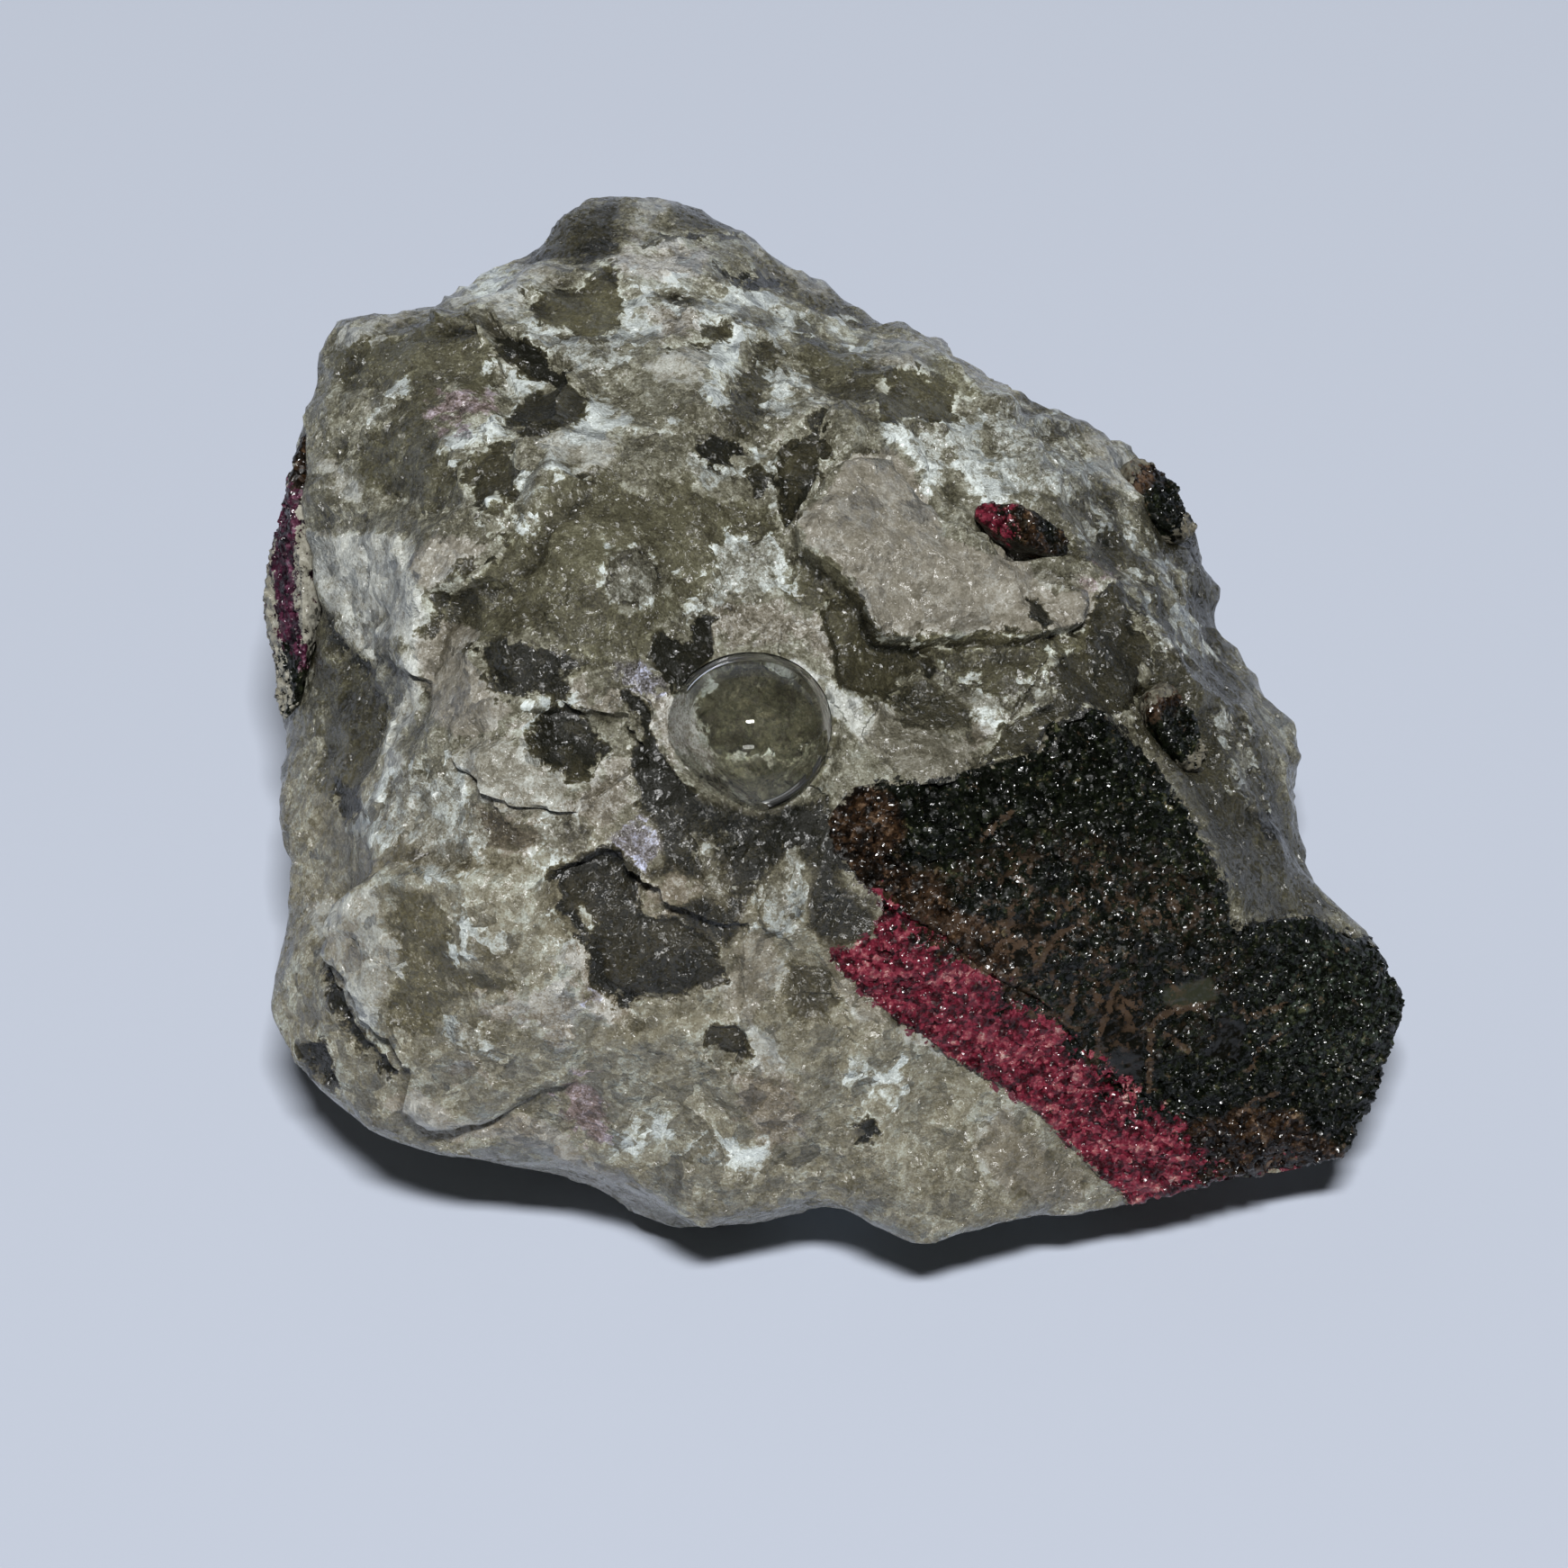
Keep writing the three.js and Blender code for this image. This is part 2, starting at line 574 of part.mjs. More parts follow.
/** A named mesh of one solid. */
function piece(name, solid, colour, roughness, options = {}) {
  const material = new THREE.MeshStandardMaterial({
    color: colour, roughness, metalness: 0, ...options,
  });
  const mesh = new THREE.Mesh(geometryOf(solid), material);
  mesh.name = name;
  return mesh;
}

// ---------------------------------------------------------------- assembly

const shell = lumpShell();
const plainLump = withBreaks(solidOf(shellGeometry(shell)), BREAKS);
const lump = withLedges(plainLump, shell, LEDGES).trimByPlane([0, 0, 1], 0);
const lumpMesh = new THREE.Mesh(geometryOf(lump), new THREE.MeshBasicMaterial());

const floor = zoneFloor(ZONE_DEPTH);
const pocketFloor = zoneFloor(ZONE_DEPTH + GAP);
/** The lump's broken outside, thrown up by crystals of a height and standing proud of the quartz. */
function roughFace(height, stand = 0) {
  const thrown = (place, corner) => stand + crystalThrow(corner, height);
  return withBreaks(solidOf(shellGeometry(shell, thrown)), BREAKS);
}

const coarse = roughFace(BLACK_CRYSTAL_HEIGHT);
const fine = roughFace(PINK_GRAIN_HEIGHT);
const proud = roughFace(PINK_GRAIN_HEIGHT, CLUSTER_STAND);
const blackBody = coarse
  .intersect(sightPrism(BLACK_BODY))
  .trimByPlane(floor.normal, floor.offset);
const pinkBand = fine
  .intersect(sightPrism(PINK_BAND))
  .subtract(sightPrism(grown(BLACK_BODY, GAP)))
  .trimByPlane(floor.normal, floor.offset);
const zonePocket = sightPrism(grown(BLACK_BODY, GAP))
  .add(sightPrism(grown(PINK_BAND, GAP)))
  .trimByPlane(pocketFloor.normal, pocketFloor.offset);

let quartz = lump.subtract(zonePocket);
const clusterPieces = CLUSTERS.map((cluster) => {
  const { solid, pocket } = clusterSolids(lumpMesh, proud, cluster);
  quartz = quartz.subtract(pocket);
  return piece(cluster.name, solid.subtract(zonePocket), cluster.colour, 0.35);
});
const drop = dropSolids(lumpMesh);
quartz = quartz.subtract(drop.pocket);

const specimen = new THREE.Group();
specimen.name = "raw_lepidolite";
specimen.add(
  piece("quartz_matrix", quartz, 0x8f8c80, 0.4),
  piece("black_crystals", blackBody, 0x1d1f1a, 0.3),
  piece("pink_lepidolite", pinkBand, 0xa53455, 0.45),
  ...clusterPieces,
  piece("clear_drop", drop.solid, 0xe8ecec, 0.05, { transparent: true, opacity: 0.35 }),
);

// The origin is on the ground, under the middle of the whole specimen's box.
const box = new THREE.Box3().setFromObject(specimen);
const middle = box.getCenter(new THREE.Vector3());
specimen.position.set(-middle.x, -middle.y, -box.min.z);
specimen.updateMatrixWorld(true);

export default specimen;
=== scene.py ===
"""Dresses a raw lepidolite specimen: a broken lump of smoky quartz with black and pink crystals.

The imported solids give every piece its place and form. Each stone is rebuilt here as a fine mesh on
its own solid, with ledges, windows, grains and crystals in real relief, and with named fields on its
points that tell its finish where each kind of quartz or crystal lies.

Sizes are millimetres until a mesh is made, which is in metres.
"""

import logging
import math
import re
from dataclasses import dataclass
from enum import Enum
from functools import partial, reduce
from typing import Callable, Iterable, Sequence

import bpy
import numpy as np
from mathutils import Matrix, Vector
from mathutils.bvhtree import BVHTree


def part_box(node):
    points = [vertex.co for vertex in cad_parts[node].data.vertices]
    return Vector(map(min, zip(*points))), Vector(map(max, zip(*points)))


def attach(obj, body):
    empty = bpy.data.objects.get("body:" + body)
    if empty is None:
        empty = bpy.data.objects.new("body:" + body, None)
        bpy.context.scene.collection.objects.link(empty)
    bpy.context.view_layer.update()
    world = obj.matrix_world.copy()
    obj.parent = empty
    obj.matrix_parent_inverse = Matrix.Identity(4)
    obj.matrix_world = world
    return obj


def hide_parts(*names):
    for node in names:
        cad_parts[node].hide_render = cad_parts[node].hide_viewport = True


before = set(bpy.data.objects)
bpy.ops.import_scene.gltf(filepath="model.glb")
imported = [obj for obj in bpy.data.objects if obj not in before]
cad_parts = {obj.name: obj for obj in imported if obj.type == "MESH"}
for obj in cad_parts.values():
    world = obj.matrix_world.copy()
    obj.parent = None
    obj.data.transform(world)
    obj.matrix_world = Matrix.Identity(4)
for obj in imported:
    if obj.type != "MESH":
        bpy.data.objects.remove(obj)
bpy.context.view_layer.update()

LOG = logging.getLogger("specimen")
MM = 0.001
BODY = "root"
FAR_OUTSIDE = -6.0  # mm, the field of a kind of quartz well away from it

# large odd numbers that stir the bits of the repeatable noise
HASH_PRIMES = np.array([374761393, 668265263, 1440670441])
SALT_PRIME = 974634541
MIX_PRIME = 1274126177
WORD = 0xFFFFFFFF
LOW_BITS = 0xFFFFFF

Place = tuple[float, float]
Colour = tuple[float, float, float]
Tone = tuple[int, int, int]
Stops = tuple[tuple[float, Tone], ...]
Fields = dict[str, np.ndarray]
Chances = bpy.types.bpy_prop_collection


# ---------------------------------------------------------------- noise


def hashed(cells: np.ndarray, salt: int) -> np.ndarray:
    """A repeatable number from 0 to 1 for each whole-number cell.

    Args:
        cells: Whole numbers, one row of three per cell.
        salt: Picks one of many unlike sets of numbers.

    Returns:
        One number per row.
    """
    h = (cells.astype(np.int64) @ HASH_PRIMES + salt * SALT_PRIME) & WORD
    h = ((h ^ (h >> 13)) * MIX_PRIME) & WORD
    return ((h ^ (h >> 16)) & LOW_BITS) / (LOW_BITS + 1)


def hashed_rows(cells: np.ndarray, salt: int) -> np.ndarray:
    """Three repeatable numbers from 0 to 1 for each cell, in a row."""
    return np.stack([hashed(cells, salt + axis) for axis in range(3)], axis=1)


def noise(points: np.ndarray, spacing: float, salt: int) -> np.ndarray:
    """Smooth noise from -1 to 1.

    Args:
        points: Places, one row of three per point.
        spacing: Distance between two turns of the noise.
        salt: Picks one of many unlike noises.

    Returns:
        One number per point.
    """
    scaled = points / spacing
    cell = np.floor(scaled)
    t = scaled - cell
    t = t * t * t * (t * (t * 6 - 15) + 10)
    total = np.zeros(len(points))
    for corner in np.ndindex(2, 2, 2):
        weight = np.prod(np.where(np.array(corner) == 1, t, 1 - t), axis=1)
        total += weight * hashed(cell + corner, salt)
    return total * 2 - 1


def layered(points: np.ndarray, spacing: float, octaves: int, salt: int) -> np.ndarray:
    """Noise with finer and fainter noise on it.

    Args:
        points: Places, one row of three per point.
        spacing: Distance between two turns of the coarsest noise.
        octaves: How many noises are laid on each other.
        salt: Picks one of many unlike noises.

    Returns:
        One number per point, mostly from -1 to 1.
    """
    total = np.zeros(len(points))
    for octave in range(octaves):
        total += noise(points, spacing / 2**octave, salt + octave) / 2**octave
    return total


@dataclass
class Cells:
    """The nearest cell of a random packing, for each of many points.

    Attributes:
        near: Distance to the nearest middle, in spacings.
        next: Distance to the second nearest middle, in spacings.
        offset: From that middle to the point, in spacings.
        chance: Three repeatable numbers from 0 to 1 that belong to the cell.
    """

    near: np.ndarray
    next: np.ndarray
    offset: np.ndarray
    chance: np.ndarray


def cells_of(points: np.ndarray, spacing: float, salt: int) -> Cells:
    """Finds the random cell that each point lies in.

    Args:
        points: Places, one row of three per point.
        spacing: Mean distance between two middles.
        salt: Picks one of many unlike packings.

    Returns:
        The cells, one entry per point.
    """
    scaled = points / spacing
    home = np.floor(scaled)
    near = np.full(len(points), np.inf)
    second = np.full(len(points), np.inf)
    offset = np.zeros_like(scaled)
    owner = np.zeros_like(scaled)
    for step in np.ndindex(3, 3, 3):
        cell = home + step - 1
        away = scaled - (cell + hashed_rows(cell, salt))
        distance = np.linalg.norm(away, axis=1)
        closer = distance < near
        second = np.where(closer, near, np.minimum(second, distance))
        near = np.where(closer, distance, near)
        offset[closer] = away[closer]
        owner[closer] = cell[closer]
    return Cells(near, second, offset, hashed_rows(owner, salt + 11))


def scoops(points: np.ndarray, spacing: float, lean: float, salt: int) -> np.ndarray:
    """The hollows that a shell-like break leaves, each leaning its own way, with sharp ridges between.

    Args:
        points: Places, one row of three per point.
        spacing: Mean size of a hollow.
        lean: How far the hollows lean.
        salt: Picks one of many unlike breaks.

    Returns:
        A height per point, in spacings, around 0.
    """
    scaled = points / spacing
    home = np.floor(scaled)
    lowest = np.full(len(points), np.inf)
    for step in np.ndindex(3, 3, 3):
        cell = home + step - 1
        away = scaled - cell - hashed_rows(cell, salt)
        tilt = hashed_rows(cell, salt + 21) - 0.5
        lowest = np.minimum(lowest, np.sum(away * (away + 2 * lean * tilt), axis=1))
    return lowest - 0.25


def smooth(value: np.ndarray, low: float, high: float) -> np.ndarray:
    """0 below low, 1 above high, and a smooth rise between them."""
    t = np.clip((value - low) / (high - low), 0, 1)
    return t * t * (3 - 2 * t)


# ---------------------------------------------------------------- the sight plane


@dataclass(frozen=True)
class Sight:
    """The line of sight that the specimen's places are laid out on.

    Attributes:
        core: The point inside the lump that the places are measured from.
        look_down: Slope of the line of sight, in degrees.
        eye_distance: From the core to the eye.
    """

    core: tuple[float, float, float] = (0.46, -1.68, 24.0)
    look_down: float = 60.0
    eye_distance: float = 500.0

    @property
    def to_eye(self) -> np.ndarray:
        """The way from the core to the eye."""
        slope = math.radians(self.look_down)
        return np.array([0.0, -math.cos(slope), math.sin(slope)])

    @property
    def up(self) -> np.ndarray:
        """The way that is seen as up."""
        slope = math.radians(self.look_down)
        return np.array([0.0, math.sin(slope), math.cos(slope)])

    def places(self, points: np.ndarray) -> np.ndarray:
        """Where points are seen.

        Args:
            points: Points in the specimen's frame.

        Returns:
            Across and up on the sight plane, one row per point.
        """
        from_core = points - np.array(self.core)
        nearer = self.eye_distance / (self.eye_distance - from_core @ self.to_eye)
        return np.stack([from_core[:, 0] * nearer, from_core @ self.up * nearer], axis=1)


SIGHT = Sight()


def line_of(text: str) -> tuple[Place, ...]:
    """A line on the sight plane from text: "across,up across,up ..." in millimetres."""
    return tuple((float(across), float(up)) for across, up in (pair.split(",") for pair in text.split()))


def distance_to_line(line: Sequence[Place], places: np.ndarray) -> np.ndarray:
    """Distance from each place to the nearest stretch of an open line.

    Args:
        line: The line's points.
        places: Across and up, one row per place.

    Returns:
        One distance per place.
    """
    nearest = np.full(len(places), np.inf)
    for (ax, ay), (bx, by) in zip(line, line[1:]):
        along = np.array([bx - ax, by - ay])
        away = places - (ax, ay)
        share = np.clip(away @ along / (along @ along), 0, 1)
        nearest = np.minimum(nearest, np.linalg.norm(away - share[:, None] * along, axis=1))
    return nearest


def inside_by(outline: Sequence[Place], places: np.ndarray) -> np.ndarray:
    """How far each place lies inside a closed outline, below 0 outside it.

    Args:
        outline: The outline's points, in either order.
        places: Across and up, one row per place.

    Returns:
        One signed distance per place.
    """
    inside = np.zeros(len(places), bool)
    x, y = places[:, 0], places[:, 1]
    closed = [*outline, outline[0]]
    for (ax, ay), (bx, by) in zip(closed, closed[1:]):
        if ay != by:
            crosses = (ay > y) != (by > y)
            inside ^= crosses & (x < ax + (y - ay) / (by - ay) * (bx - ax))
    distance = distance_to_line(closed, places)
    return np.where(inside, distance, -distance)


# ---------------------------------------------------------------- what lies where


@dataclass(frozen=True)
class Ledge:
    """A flake that stands proud or a scar that is sunk, sharp along its edge and melting behind it.

    Attributes:
        rise: Height of the step along the edge, below 0 for a scar.
        melt: Distance over which the step melts back into the surface.
        edge: The sharp edge, an open line.
        back: Points that close the outline where no step is left.
    """

    rise: float
    melt: float
    edge: tuple[Place, ...]
    back: tuple[Place, ...]


LEDGES = (
    # the pale plate right of the middle
    Ledge(
        2.2, 14,
        line_of(
            "5,20.2 1.8,20.2 -1.5,18 -3.4,15.8 -2.8,13.5 1,10.6 1.8,8.6 3.9,5.8 7,5.6 15.8,5.6 "
            "19.8,6.3 20.2,9.2"),
        line_of("17.8,10.6 12,14 8.3,15.8"),
    ),
    # the flake left of the middle
    Ledge(
        1.8, 6,
        line_of("-28.5,-5.6 -25,-7.8 -21.5,-8.2 -19.8,-6.6 -21.5,-4.8 -23.6,-3.2"),
        line_of("-26,-2.3 -30.3,-3.6"),
    ),
    # the slab that overhangs the lower left corner
    Ledge(
        2.4, 8,
        line_of(
            "-31,-13 -37,-13 -40.6,-15.6 -40.4,-18.8 -38.6,-22 -36.4,-25.4 -33.9,-28.8 "
            "-34.6,-31.4 -33.4,-33 -30,-33.5"),
        line_of("-22,-30 -18,-22 -22,-14"),
    ),
    # the long ledge below the upper left lobe
    Ledge(
        2, 6,
        line_of("-33,3 -31.3,9.2 -27,11.5 -22.5,15.5 -20,18.3"),
        line_of("-25,22 -34,20 -39,14 -39,5"),
    ),
    # the step down to the top lobe
    Ledge(
        -1.8, 7,
        line_of("-31,33.2 -24,34.6 -17,34.2 -7,36.8"),
        line_of("2,44 -16,48 -32,42"),
    ),
    # the scar of the upper left lobe
    Ledge(
        -1.5, 9,
        line_of("-25.4,25 -28,30 -34,31.2 -38.5,26.5"),
        line_of("-39,19 -36,14.5 -29.4,15 -27,20.3"),
    ),
    # the cleft between the upper left lobe and the middle
    Ledge(
        -2, 9,
        line_of("-27.2,24.5 -26.5,29.8 -20.5,26.5 -21.5,22.8"),
        line_of("-25.3,20.6"),
    ),
    # the pool above the left flake
    Ledge(
        -2, 8,
        line_of("-22,-4.4 -23.8,-0.8 -21,0.5 -16,-0.9"),
        line_of("-14.6,-4 -18.5,-7"),
    ),
    # the pool low in the middle
    Ledge(
        -2.2, 8,
        line_of("-19.4,-20.6 -22,-16 -21.7,-12.2 -16.5,-10.9 -13.2,-14.2"),
        line_of("-6.8,-16 -7.2,-22.5 -15,-25"),
    ),
)


class Quartz(Enum):
    """The kinds of ground that the quartz shows."""

    SMOKY = "smoky"
    DEEP = "deep"
    FROST = "frost"
    PALE = "pale"
    PLATE = "plate"
    TAN = "tan"
    LILAC = "lilac"
    PINK = "pink"


@dataclass(frozen=True)
class Patch:
    """One patch of a kind of quartz.

    Attributes:
        kind: What it is.
        outline: Its outline on the sight plane.
        sink: How far its surface is sunk, below 0 where it stands proud.
        tone: How much more frosted it is than others of its kind.
    """

    kind: Quartz
    outline: tuple[Place, ...]
    sink: float
    tone: float

    @classmethod
    def read(cls, text: str) -> tuple["Patch", ...]:
        """Reads patches from text.

        Args:
            text: For each patch its kind, its sink, its tone and the points of its outline. What
                follows a # is a heading.

        Returns:
            The patches, each lying over the ones before it.
        """
        rows = re.findall(r"([a-z]+) (\S+) (\S+)((?:\s+[^\s,]+,[^\s,]+)+)", re.sub("#.*", "", text))
        return tuple(
            cls(Quartz(kind), line_of(outline), float(sink), float(tone))
            for kind, sink, tone, outline in rows)


